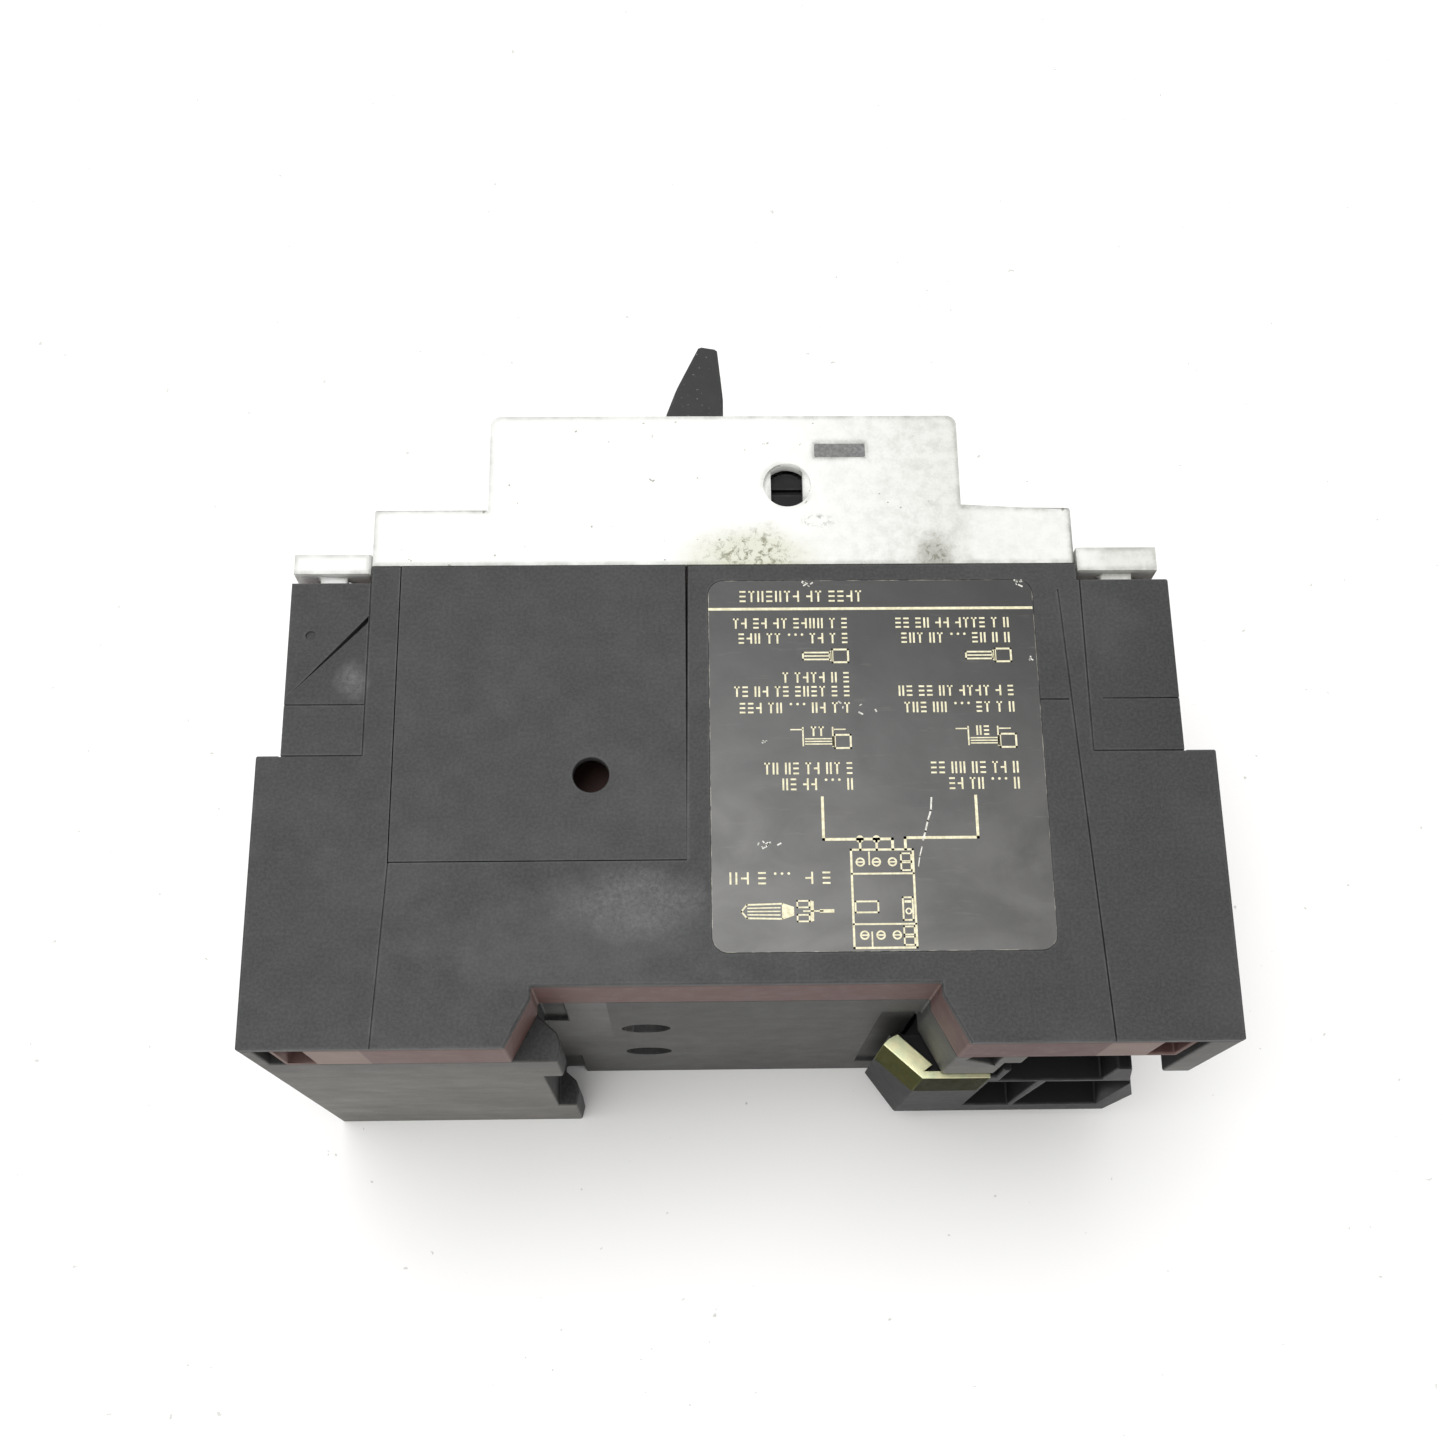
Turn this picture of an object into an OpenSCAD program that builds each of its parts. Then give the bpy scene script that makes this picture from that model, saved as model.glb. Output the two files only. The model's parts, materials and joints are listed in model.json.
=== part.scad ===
// Three pole motor protection breaker with a built on auxiliary contact module.
// Millimetres. X runs along the height, from the line end (-X) to the load end (+X).
// Y runs along the depth, from the rail (-Y) to the front (+Y).
// Z runs along the width, from the right side (-Z) to the left side (+Z).
// The origin is the middle of the rail seat, at half the width.

/* [Overall size] */
// Height of the breaker, from the line end to the load end
height = 90; // [88:1:120]
// Width of the three pole body
body_w = 45; // [43.5:0.5:60]
// Width of the auxiliary contact module
module_w = 9; // [8.5:0.5:14]
// Depth of the feet behind the rail seat
foot_depth = 5.5; // [5.2:0.1:8]
// Depth of the wide rear part, from the rail seat
step_y = 21.75; // [21:0.25:30]
// Depth of the terminal blocks above the wide rear part
block_rise = 17.45; // [16.5:0.05:24]
// Rise of the black body above the terminal blocks
body_rise = 1.8; // [1:0.1:4]
// Rise of the cover shoulder above the black body
shoulder_rise = 6; // [4:0.1:10]
// Rise of the front face above the cover shoulder
front_rise = 10.1; // [9.5:0.1:16]

/* [Terminal blocks] */
// Step from the line end to the line terminal block
line_step = 2.3; // [1.5:0.1:4]
// Step from the load end to the load terminal block
load_step = 3; // [1.5:0.1:4]
// Length of the line terminal block
line_block_l = 7.6; // [7:0.1:12]
// Length of the load terminal block
load_block_l = 8.9; // [8:0.1:12]
// Step from the line end of the body to the raised front
line_shoulder_l = 11; // [6:0.1:14]
// Step from the load end of the body to the raised front
load_shoulder_l = 10.8; // [6:0.1:14]
// Width of a main wire entry
entry_w = 9.2; // [6:0.1:10]
// Radius of a main screw access hole
access_r = 3; // [2.6:0.1:3.2]
// Thickness of the terminal cover strips
strip_t = 2; // [1.2:0.1:3]
// Gap between a terminal block and its cover strip
strip_gap = 1; // [0.5:0.1:2]

/* [Rail mount] */
// Line side of the rail notch, from the origin
notch_line = 19.07; // [18.5:0.01:21]
// Load side of the rail notch, from the origin
notch_load = 18.04; // [17.5:0.01:20]
// Straight depth of the notch sides before they slant
notch_straight = 1.1; // [0.5:0.1:2]
// How far the notch sides slant outward
notch_flare = 2.3; // [1:0.1:4]
// Reach of the rail hook under the rail
hook_reach = 1.9; // [1:0.1:2.5]
// Height of the rail gap above the tip of the hook
hook_gap = 2.8; // [2:0.1:3.2]
// Travel of the rail slider
slider_travel = 3; // [2.5:0.1:3]
// Thickness of the latch plate
latch_plate_t = 0.8; // [0.5:0.1:1]

/* [Housing] */
// Thickness of the side walls and cover walls
wall = 1.5; // [1.2:0.1:1.8]
// Thickness of the barriers between the poles
barrier_t = 1.5; // [1:0.1:2]
// Thickness of the side cover
side_cover_t = 1.2; // [1:0.1:1.6]
// Thickness of the end walls beside the module
end_wall = 1.2; // [1:0.1:2]
// Width of a seam groove
groove_w = 0.15; // [0.1:0.05:0.5]
// Depth of a seam groove
groove_d = 0.2; // [0.1:0.05:0.5]
// Corner radius of the raised front
front_r = 1; // [0.4:0.1:2]

/* [Lever] */
// Width of the toggle lever
lever_w = 19; // [12:0.5:19]
// Length of the lever from its pivot to its tip
lever_l = 37; // [30:0.5:42]
// Lean of the lever at rest, towards the load end
lever_lean = 10; // [0:1:20]
// Radius of the lever's drum
drum_r = 13.6; // [13.4:0.1:14]
// Depth of the lever pivot under the front face
pivot_depth = 11.1; // [11:0.1:11.6]
// Radius of the lever pin
pin_r = 1.5; // [1:0.1:1.8]

/* [Setting and test] */
// Radius of the current setting dial
dial_r = 5; // [4:0.1:6]
// Radius of the test button
test_r = 2.1; // [1.5:0.1:2.5]

/* [Current path] */
// Thickness of the copper straps
strap_t = 1.2; // [0.8:0.1:1.5]
// Gap between the open contacts at rest
contact_gap = 1.9; // [1.85:0.05:2.5]
// Half length of a contact bridge, between its contacts
bridge_reach = 9; // [8:0.1:9.2]
// Number of turns of a trip coil
coil_turns = 6; // [4:1:6]
// Radius of a main terminal screw
screw_r = 2; // [1.5:0.1:2.2]
// Number of plates in an arc chute stack
chute_plates = 5; // [3:1:6]

/* [Fits] */
// Radial clearance of a shaft that turns in its bore
run_clear = 0.05; // [0.02:0.01:0.09]
// Clearance between pieces that are put together
fit_clear = 0.1; // [0.05:0.05:0.2]
// Clearance around pieces that move freely
free_clear = 0.35; // [0.3:0.05:0.6]

/* [Hidden] */
$fn = 48;
over = 1;           // how far a cut runs past the face it opens

// Width: sides, the split between body and module, and the poles
z_left = (body_w + module_w) / 2;
z_right = -z_left;
z_split = z_right + body_w;
z_plate = z_left - side_cover_t;
pitch = body_w / 3;
poles = [for (i = [1 : 3]) z_right + pitch * (i - 0.5)];
barriers = [for (i = [1 : 2]) z_right + pitch * i];
z_in_right = z_right + wall;
z_in_left = z_split - wall;

// Depth levels
block_y = step_y + block_rise;
split_y = block_y + body_rise;
shoulder_y = split_y + shoulder_rise;
front_y = shoulder_y + front_rise;
roof_y = front_y - wall;
floor_y = 1.8;

// Height stations
line_end = -height / 2;
load_end = height / 2;
line_block = line_end + line_step;
load_block = load_end - load_step;
line_neck = line_block + line_block_l;
load_neck = load_block - load_block_l;
line_front = line_neck + line_shoulder_l;
load_front = load_neck - load_shoulder_l;
block_wall = 1.5;
neck_wall = 3.3;
terminal_wall = 1.8;
line_in = line_block + block_wall;
load_in = load_block - block_wall;

// Terminals: the tongue, the saddle on the wires and the screw
tongue_y = block_y - 10.6;
wire_gap = 4.8;
saddle_y = tongue_y + wire_gap;
saddle_t = 1;
saddle_hl = 2.4;
head_h = 2.4;
head_r = screw_r + 0.5;
line_screw_x = line_in + 2.6;
load_screw_x = load_in - 2.9;
tongue_hw = pitch / 2 - 2.5;
cavity_hw = tongue_hw + 0.6;

// Contacts and arc chutes
contact_x = -14.5;
contact_line_x = contact_x - bridge_reach;
contact_load_x = contact_x + bridge_reach;
contact_y = 10.6;
pad_h = 1;
pad_r = 1.7;
bridge_y = contact_y + pad_h + contact_gap + 0.8;
bridge_t = 1.2;
bridge_hw = 2.2;
carrier_y = step_y + contact_gap + free_clear;
carrier_h = 3;
carrier_hw = 2.4;

// Screws through the rail notch
fix_x = -9.15;
fix_head_r = 2.2;
fix_r = 1.5;
boss_r = 3.4;

// Magnetic and thermal trips
coil_x = 10.5;
coil_r = 4.1;
coil_wire_r = 0.95;
coil_bore = 2.6;
plunger_r = 2.2;
coil_y = 7;
coil_pitch = 1.95;
yoke_top = coil_y + coil_pitch * (coil_turns - 1) + 2.9;
bimetal_x = 24.2;
load_floor_y = 2.8;
strap_floor = load_floor_y + 2.8;
trip_x = 20;
trip_y = 34.5;
trip_r = 1.5;
plunger_top = trip_y - 3.5;

// Lever
pivot_x = -8.3;
pivot_y = front_y - pivot_depth;
lever_z0 = z_right + 5;
lever_z1 = lever_z0 + lever_w;
lever_z = (lever_z0 + lever_z1) / 2;
arm_l = 6;
arm_pin = [pivot_x - arm_l * sin(lever_lean), pivot_y - arm_l * cos(lever_lean)];
frame_t = 1;
frame_gap = 0.6;
frame_z0 = lever_z0 - frame_gap - frame_t;
frame_z1 = lever_z1 + frame_gap + frame_t;

// Coupling shaft, adjuster and test button
coupling_x = 5.23;
coupling_y = shoulder_y + 2.49;
coupling_r = 2;
bracket_y = split_y + 4.4;
bracket_t = 1;
dial_x = -12;
dial_z = z_split - 0.5;
test_x = 14;
test_z = z_split - 4;

// Rail slider
slider_z0 = z_right + 6;
slider_z1 = slider_z0 + 32;
slider_back = -foot_depth - 0.25;
slider_top = 0.9;
slider_floor = 1.2;
pocket_y = -2.6;
slider_rib = 3.6;
slider_end = load_end - 2;
seat_relief = 0.6;
guide_z = z_split - 10.8;
plate_z1 = guide_z - 0.4;
plate_z0 = plate_z1 - 9.4;
end_lug_z = z_split - 10.6;
load_wall = 2.8;
plate_x = [14.6, 18.4, 25.2];
guide_end = plate_x[2] + 0.3;
spring_z = 4;
spring_start = 24;
spring_stop = 36.2;

// Auxiliary module
module_z0 = z_split + end_wall;
module_z = (module_z0 + z_plate) / 2;
module_hw = (z_plate - module_z0) / 2 - 1.2;
module_x = -2;
module_top = split_y - 1.4;
module_tongue_y = tongue_y - 0.8;
module_strap_y = 13;
module_screw_r = 1.5;

// The blanking panel's place and the label's place in the side cover
panel_x0 = line_neck + 2.85;
panel_x1 = panel_x0 + 27.4;
panel_y0 = 11.54;
label_x0 = -2.7;
label_x1 = 28.7;
label_y0 = 2.8;
label_y1 = block_y + 0.05;
label_r = 1.5;
label_sunk = 0.1;
panel_hole_r = 1.7;

// Mechanism: the latch's pivot and its thickness
latch_x = 2.5;
latch_y = 38;
latch_pin_r = 1;
latch_z = lever_z + 3.2;
latch_t = 1.8;
frame_foot_y = 31;
frame_top_y = shoulder_y - 3;

// Bimetals with their heater windings
heater_y = 9.2;
heater_pitch = 1.55;
heater_turns = 8;

// A block between two opposite corners
module block(a, b) {
    translate(a) cube(b - a);
}

// A side profile carried across the width
module slab(points, z0, z1) {
    translate([0, 0, z0]) linear_extrude(z1 - z0) polygon(points);
}

// An outline in X and Z carried along the depth
module plank(points, y0, y1) {
    translate([0, y1, 0]) rotate([90, 0, 0]) linear_extrude(y1 - y0) polygon(points);
}

// A round bar along the depth
module rod_y(x, z, y0, y1, r) {
    translate([x, y0, z]) rotate([-90, 0, 0]) cylinder(h = y1 - y0, r = r);
}

// A round bar along the width
module rod_z(x, y, z0, z1, r) {
    translate([x, y, z0]) cylinder(h = z1 - z0, r = r);
}

// A coil spring along +Z, drawn as rings on a thin tube
module spring(length, r, wire_r, turns) {
    step = (length - 2 * wire_r) / (turns - 1);
    difference() {
        union() {
            cylinder(h = length, r = r + wire_r * 0.35);
            for (i = [0 : turns - 1])
                translate([0, 0, wire_r + i * step])
                    rotate_extrude() translate([r, 0]) circle(r = wire_r, $fn = 16);
        }
        translate([0, 0, -over]) cylinder(h = length + 2 * over, r = r - wire_r * 0.5);
    }
}

// Outline of the rear contour that the module housing and the side cover share
function rear_contour(line_x, load_x) = [
    [line_x, -foot_depth],
    [-notch_line - notch_flare, -foot_depth],
    [-notch_line, -notch_straight],
    [-notch_line, 0],
    [notch_load, 0],
    [notch_load, -notch_straight],
    [notch_load + notch_flare, -foot_depth],
    [load_x, -foot_depth]
];

// Outline of the terminal blocks and the body between them, from the load end back
function front_contour(line_x, load_x) = [
    [load_x, step_y],
    [load_block, step_y],
    [load_block, block_y],
    [load_neck, block_y],
    [load_neck, split_y],
    [line_neck, split_y],
    [line_neck, block_y],
    [line_block, block_y],
    [line_block, step_y],
    [line_x, step_y]
];

// ---- Housings and covers ----

module base_housing() {
    color([0.22, 0.22, 0.23]) {
        difference() {
            union() {
                base_shell();
                base_ends();
                rail_hook();
                slider_guide();
            }
            for (z = barriers) {
                rod_y(fix_x, z, -over, 2.6, 2.5);
                rod_y(fix_x, z, 0, step_y + over, fix_r + fit_clear);
            }
            slider_slot();
            arc_vents();
            seat_reliefs();
            guide_pocket();
        }
    }
}

// The tray with its pole chambers and screw bosses
module base_shell() {
    difference() {
        slab([
            [line_end, -foot_depth], [-notch_line, -foot_depth], [-notch_line, 0], [notch_load, 0],
            [notch_load, slider_floor], [load_end, slider_floor], [load_end, step_y], [line_end, step_y]
        ], z_right, z_split);
        block([line_in, floor_y, z_in_right], [notch_load - wall, step_y + over, z_in_left]);
        block([notch_load - wall - over, load_floor_y, z_in_right], [load_in, step_y + over, z_in_left]);
        block([line_in, -foot_depth + wall, z_in_right], [-notch_line - wall, floor_y + over, z_in_left]);
    }
    for (z = barriers) {
        base_barrier(z);
        rod_y(fix_x, z, 1, step_y, boss_r);
    }
}

module base_barrier(z) {
    slab([
        [line_in - 0.5, -foot_depth + 1], [-notch_line - 1, -foot_depth + 1], [-notch_line - 1, 1],
        [notch_load - wall, 1], [notch_load - wall, 2], [load_in + 0.5, 2],
        [load_in + 0.5, step_y], [line_in - 0.5, step_y]
    ], z - barrier_t / 2, z + barrier_t / 2);
}

// The end walls that run on beside the module
module base_ends() {
    block([line_end, -foot_depth, z_split - over], [line_end + end_wall, step_y, z_plate]);
    block([load_end - end_wall, slider_floor, z_split - over], [load_end, step_y, z_plate]);
    block([load_end - load_wall, -foot_depth, end_lug_z], [load_end, slider_floor + over, z_plate]);
}

// The fixed hook, in two teeth
hook_teeth = [[z_split - 9.5, z_split], [z_right, z_right + 12.5]];
hook_tip = -notch_line + hook_reach;

module rail_hook() {
    for (span = hook_teeth)
        slab([
            [-notch_line - 0.5, -foot_depth], [hook_tip, -foot_depth], [hook_tip + 0.3, -hook_gap - 1.3],
            [hook_tip, -hook_gap], [-notch_line, -notch_straight], [-notch_line - 0.5, -notch_straight]
        ], span[0], span[1]);
}

// Shallow reliefs in the seat, over the hook's teeth and over the slider's nose
module seat_reliefs() {
    for (span = hook_teeth)
        block([-notch_line, -over, span[0] - fit_clear],
              [hook_tip + 0.4, seat_relief, span[1] + fit_clear]);
    block([plate_x[0] - 0.3, -over, slider_z0 - free_clear],
          [notch_load, seat_relief, slider_z1 + free_clear]);
}

// The guide beside the latch plate and the stop of the slider's spring
module slider_guide() {
    slab([
        [notch_load, slider_floor + over], [notch_load, -notch_straight],
        [notch_load + notch_flare, -foot_depth], [guide_end, -foot_depth],
        [guide_end, slider_floor + over]
    ], guide_z, z_split);
    block([guide_end - over, -foot_depth, z_split - 4], [guide_end + 1.6, slider_floor + over, z_split]);
    block([spring_stop, -1.2, spring_z - 1.2], [spring_stop + 1.2, slider_floor + over, spring_z + 1.2]);
}

// The pocket in the guide, beside the module
module guide_pocket() {
    plank([
        [guide_end - 4, z_split - 2], [guide_end - 3.4, z_split + over], [guide_end - 0.8, z_split + over],
        [guide_end - 0.8, z_split - 5.5], [guide_end - 1.9, z_split - 4]
    ], -foot_depth - over, -foot_depth + 2);
}

module slider_slot() {
    block([21.8, 0, -7], [30.2 + slider_travel, load_floor_y + over, -2]);
}

// Vents of the arc chambers in the line end
module arc_vents() {
    for (z = poles, k = [-1 : 1])
        block([line_end - over, 8, z + 3.4 * k - 0.6], [line_in + over, 17, z + 3.4 * k + 0.6]);
}

module upper_housing() {
    color([0.22, 0.22, 0.23])
        difference() {
            slab(concat([[load_block, step_y]], front_contour(line_block, load_block)), z_right, z_split);
            upper_cavity();
            for (z = poles) {
                terminal_cavity(line_in, line_block, line_neck, line_screw_x, z, -1);
                terminal_cavity(load_in, load_block, load_neck, load_screw_x, z, 1);
            }
            rod_z(trip_x, trip_y, z_in_right - 0.9, z_in_left + 0.9, trip_r + run_clear);
            for (z = barriers)
                rod_y(fix_x, z, step_y - over, step_y + 3.4, fix_r);
        }
}

// The room for the mechanism, crossed by the beam that the housing screws hold
module upper_cavity() {
    difference() {
        block([line_neck + neck_wall, step_y - over, z_in_right],
              [load_neck - neck_wall, split_y + over, z_in_left]);
        block([fix_x - 2.6, step_y - 2 * over, z_right], [fix_x + 2.6, step_y + 4.2, z_split]);
    }
}

// One terminal chamber with its wire entry and its screw access; side is -1 at the line end
module terminal_cavity(inner, outer, neck, screw_x, z, side) {
    back = neck - side * terminal_wall;
    block([min(inner, back), step_y - over, z - cavity_hw],
          [max(inner, back), block_y - block_wall, z + cavity_hw]);
    block([min(inner - side * over, outer + side * over), tongue_y - 0.6, z - entry_w / 2],
          [max(inner - side * over, outer + side * over), saddle_y + saddle_t + 0.6, z + entry_w / 2]);
    rod_y(screw_x, z, block_y - block_wall - over, block_y + over, access_r);
}

module front_cover() {
    color([0.86, 0.86, 0.84])
        difference() {
            union() {
                cover_body();
                lever_rim();
            }
            cover_room();
            rod_z(pivot_x, pivot_y, lever_z0 - free_clear, lever_z1 + free_clear, drum_r + free_clear);
            coupling_hole();
            block([8.1, shoulder_y + 5.65, z_left - wall - over], [13, shoulder_y + 7, z_left + over]);
            rod_y(dial_x, dial_z, roof_y - over, front_y + over, dial_r + 2 * fit_clear);
            rod_y(test_x, test_z, roof_y - over, front_y + over, test_r + fit_clear);
        }
}

// The shoulder and the raised front with its rounded corners
module cover_body() {
    translate([0, 0, z_right])
        linear_extrude(z_left - z_right) {
            translate([line_neck, split_y]) square([load_neck - line_neck, shoulder_rise]);
            translate([line_front, split_y + 1])
                square([load_front - line_front, front_y - front_r - split_y - 1]);
            translate([line_front + front_r, split_y + 1])
                square([load_front - line_front - 2 * front_r, front_y - split_y - 1]);
            for (x = [line_front + front_r, load_front - front_r])
                translate([x, front_y - front_r]) circle(r = front_r);
        }
}

// The low rim round the lever's opening
module lever_rim() {
    difference() {
        block([pivot_x - 11.2, front_y - over, lever_z0 - 2],
              [pivot_x + 11.2, front_y + 1.5, lever_z1 + 2]);
        block([pivot_x - 9.8, front_y, lever_z0 - 0.7],
              [pivot_x + 9.8, front_y + 3, lever_z1 + 0.7]);
    }
}

// The hollow of the cover, open towards the body
module cover_room() {
    block([line_neck + wall, split_y - over, z_right + wall],
          [load_neck - wall, shoulder_y - wall, z_left - wall]);
    block([line_front + wall, split_y, z_right + wall], [load_front - wall, roof_y, z_left - wall]);
}

// The double-D hole for accessories, with its round recess
module coupling_hole() {
    rod_z(coupling_x, coupling_y, z_left - 0.6, z_left + over, 2.35);
    intersection() {
        rod_z(coupling_x, coupling_y, z_left - wall - over, z_left + over, 2.3);
        block([coupling_x - 1.58, coupling_y - 3, z_left - 3],
              [coupling_x + 1.58, coupling_y + 3, z_left + 2]);
    }
}

// A strip over a terminal block, on small feet, with its screw access holes
module terminal_strip(x0, x1, screw_x, module_screw_x, t) {
    y0 = block_y + strip_gap;
    difference() {
        union() {
            block([x0, y0, z_right], [x1, y0 + t, z_left]);
            for (z = concat(barriers, [z_right + 1.2, z_split - 0.2, z_left - 1.4]))
                block([x0 + 2.4, block_y, z - 0.5], [x1 - 2.4, y0 + t / 2, z + 0.5]);
        }
        for (z = poles)
            rod_y(screw_x, z, y0 - 2 * over, y0 + t + over, access_r);
        rod_y(module_screw_x, module_z, y0 - 2 * over, y0 + t + over, module_screw_r + 1);
    }
}

module line_terminal_cover() {
    color([0.86, 0.86, 0.84])
        terminal_strip(line_block + fit_clear, line_neck - fit_clear, line_screw_x, line_screw_x, strip_t);
}

module load_terminal_cover() {
    color([0.86, 0.86, 0.84])
        terminal_strip(load_neck + 2 * fit_clear, load_block - 0.9, load_screw_x, load_screw_x,
                       strip_t + 0.4);
}

module module_housing() {
    color([0.42, 0.29, 0.27])
        difference() {
            slab(concat(rear_contour(line_end + 2.8, load_end - 4),
                        front_contour(line_end + 2.8, load_end - 4)), z_split, z_plate);
            module_room();
            for (side = [-1, 1])
                module_terminal(side);
            block([module_x - 1.7, module_top - over, module_z - module_hw - 0.3],
                  [module_x + 1.7, split_y + over, module_z + module_hw + 0.3]);
            for (x = [line_end + 3.1, load_end - 6.9])
                block([x, -foot_depth - over, z_split + 0.8], [x + 2.5, -foot_depth + 3, z_plate + over]);
        }
}

// The contact chamber of the module, open towards the side cover
module module_room() {
    block([line_neck + 2, 2, module_z0], [load_neck - 2, module_top, z_plate + over]);
}

// One terminal chamber of the module with its entry, access hole and strap gap
module module_terminal(side) {
    inner = side < 0 ? line_in : load_in;
    neck = side < 0 ? line_neck : load_neck;
    screw_x = side < 0 ? line_screw_x : load_screw_x;
    back = neck - side * 0.6;
    block([min(inner, back), module_tongue_y - 7, module_z0],
          [max(inner, back), block_y - block_wall, z_plate + over]);
    block([min(inner, inner + 4 * side), module_tongue_y - 0.4, module_z - 2.4],
          [max(inner, inner + 4 * side), module_tongue_y + 5, module_z + 2.4]);
    block([min(neck + side, neck - 3 * side), module_tongue_y - 1.4, module_z - module_hw - 0.3],
          [max(neck + side, neck - 3 * side), module_tongue_y + 0.4, z_plate + over]);
    rod_y(screw_x, module_z, block_y - 2 * over, block_y + over, module_screw_r + 1);
}

module side_cover() {
    color([0.22, 0.22, 0.23])
        difference() {
            slab(concat(rear_contour(line_end, load_end), front_contour(line_end, load_end)),
                 z_plate, z_left);
            block([panel_x0 - fit_clear, panel_y0 - fit_clear, z_plate - over],
                  [panel_x1 + fit_clear, split_y + over, z_left + over]);
            label_recess();
            side_grooves();
            wedge_slit();
        }
}

module label_shape(grow) {
    r = label_r + grow;
    for (x = [label_x0 + label_r, label_x1 - label_r], y = [label_y0 + label_r, label_y1 - label_r])
        translate([x, y]) circle(r = r);
    translate([label_x0 - grow, label_y0 + label_r])
        square([label_x1 - label_x0 + 2 * grow, label_y1 - label_y0 - 2 * label_r]);
    translate([label_x0 + label_r, label_y0 - grow])
        square([label_x1 - label_x0 - 2 * label_r, label_y1 - label_y0 + 2 * grow]);
}

module label_recess() {
    translate([0, 0, z_left - label_sunk]) linear_extrude(over) label_shape(0.05);
}

// A straight groove in the side cover between two points
module groove(a, b) {
    d = b - a;
    translate([a[0], a[1], z_left - groove_d])
        rotate([0, 0, atan2(d[1], d[0])])
            translate([0, -groove_w / 2, 0]) cube([norm(d), groove_w, over]);
}

// The seams that show where the outer pieces of the side meet
module side_grooves() {
    groove([line_neck, step_y], [line_neck, block_y + over]);
    groove([load_neck + 0.3, step_y], [load_neck + 0.3, block_y + over]);
    groove([line_block - 0.2, step_y], [line_neck, step_y]);
    groove([load_neck + 0.3, step_y], [load_block + 0.2, step_y]);
    groove([panel_x0, panel_y0], [line_neck + 1.9, -foot_depth - over]);
    groove([load_neck - 1.9, block_y - 1], [load_neck + 0.25, -foot_depth - over]);
    groove([line_block - over, tongue_y - 1.8], [line_neck, tongue_y - 1.8]);
    groove([load_neck + 1.6, tongue_y - 1.6], [load_block + over, tongue_y - 1.6]);
    groove([load_neck - 4.9, tongue_y - 1.7], [load_neck - 1.6, tongue_y - 1.7]);
}

// The slanted slit and the ejector mark on the line terminal block
module wedge_slit() {
    translate([0, 0, z_left - 0.7])
        linear_extrude(over)
            polygon([
                [line_neck - 0.1, block_y - 3.4], [line_neck - 0.1, block_y - 4.1],
                [line_block + 0.5, block_y - 11.3]
            ]);
    rod_z(line_block + 2.1, block_y - 5.4, z_left - 0.3, z_left + over, 0.5);
}

module blanking_panel() {
    color([0.2, 0.2, 0.21])
        difference() {
            block([panel_x0, panel_y0, z_plate], [panel_x1, split_y, z_left]);
            rod_z(panel_x0 + 18.45, panel_y0 + 8.2, z_plate - over, z_left + over, panel_hole_r);
        }
}

module side_label() {
    color([0.16, 0.15, 0.15])
        translate([0, 0, z_left - label_sunk]) linear_extrude(0.15) label_shape(0);
}

module housing_screws() {
    color("silver")
        for (z = barriers)
            difference() {
                union() {
                    rod_y(fix_x, z, 0.9, 2.6, fix_head_r);
                    rod_y(fix_x, z, 2.5, step_y + 3.2, fix_r);
                }
                cross_recess(fix_x, z, 0.9, 1, 2.8);
            }
}

// A cross recess whose mouth is at y, sunk towards +Y for a positive depth
module cross_recess(x, z, y, depth, size) {
    y0 = min(y, y + depth) - (depth > 0 ? over : 0);
    y1 = max(y, y + depth) + (depth < 0 ? over : 0);
    block([x - size / 2, y0, z - 0.35], [x + size / 2, y1, z + 0.35]);
    block([x - 0.35, y0, z - size / 2], [x + 0.35, y1, z + size / 2]);
}

// ---- Rail slider ----

slider_nose = [[15.3, -1.3], [18.5, slider_back]];

module rail_slider() {
    color([0.12, 0.12, 0.13])
        difference() {
            union() {
                slider_foot();
                block([22, slider_top - over, -6.5], [30, load_floor_y + 0.6, -2.5]);
                block([22, load_floor_y + 0.1, -8.2], [30, load_floor_y + 1.1, -0.8]);
            }
            slab([
                [plate_x[0] - 2, -1.6], [slider_nose[0][0] - 0.4, -1.6],
                [plate_x[1] + 0.3, slider_back + 0.65], [plate_x[2], slider_back + 0.65],
                [plate_x[2], -foot_depth - 2], [plate_x[0] - 2, -foot_depth - 2]
            ], plate_z0, plate_z1 + over);
            for (x = [[plate_x[2] + 0.5, 30.7], [31.3, slider_end - 2.4]])
                block([x[0], slider_back - over, slider_z0 + 5], [x[1], pocket_y, slider_rib - 0.9]);
            block([plate_x[2] + 1.4, slider_back - over, slider_rib],
                  [slider_end - 6, pocket_y, slider_z1 + over]);
            block([spring_start, -1.5, spring_z - 1.6],
                  [spring_stop + 2.2, slider_top + over, spring_z + 1.6]);
        }
}

// The foot: its side profile cut to its outline seen from behind
module slider_foot() {
    intersection() {
        slab([
            slider_nose[0], slider_nose[1], [slider_end + over, slider_back],
            [slider_end + over, slider_top], [notch_load + 0.5, slider_top],
            [notch_load + 0.5, -1.3]
        ], slider_z0 - over, slider_z1 + over);
        plank([
            [10, slider_z0], [slider_end - 0.5, slider_z0], [slider_end, slider_z0 + 12],
            [slider_end - 3, slider_z0 + 24], [slider_end - 4.6, slider_z1],
            [plate_x[2] + 0.7, slider_z1], [plate_x[2] + 0.7, plate_z1 - 0.9], [10, plate_z1 - 0.9]
        ], slider_back - over, slider_top + over);
    }
}

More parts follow.
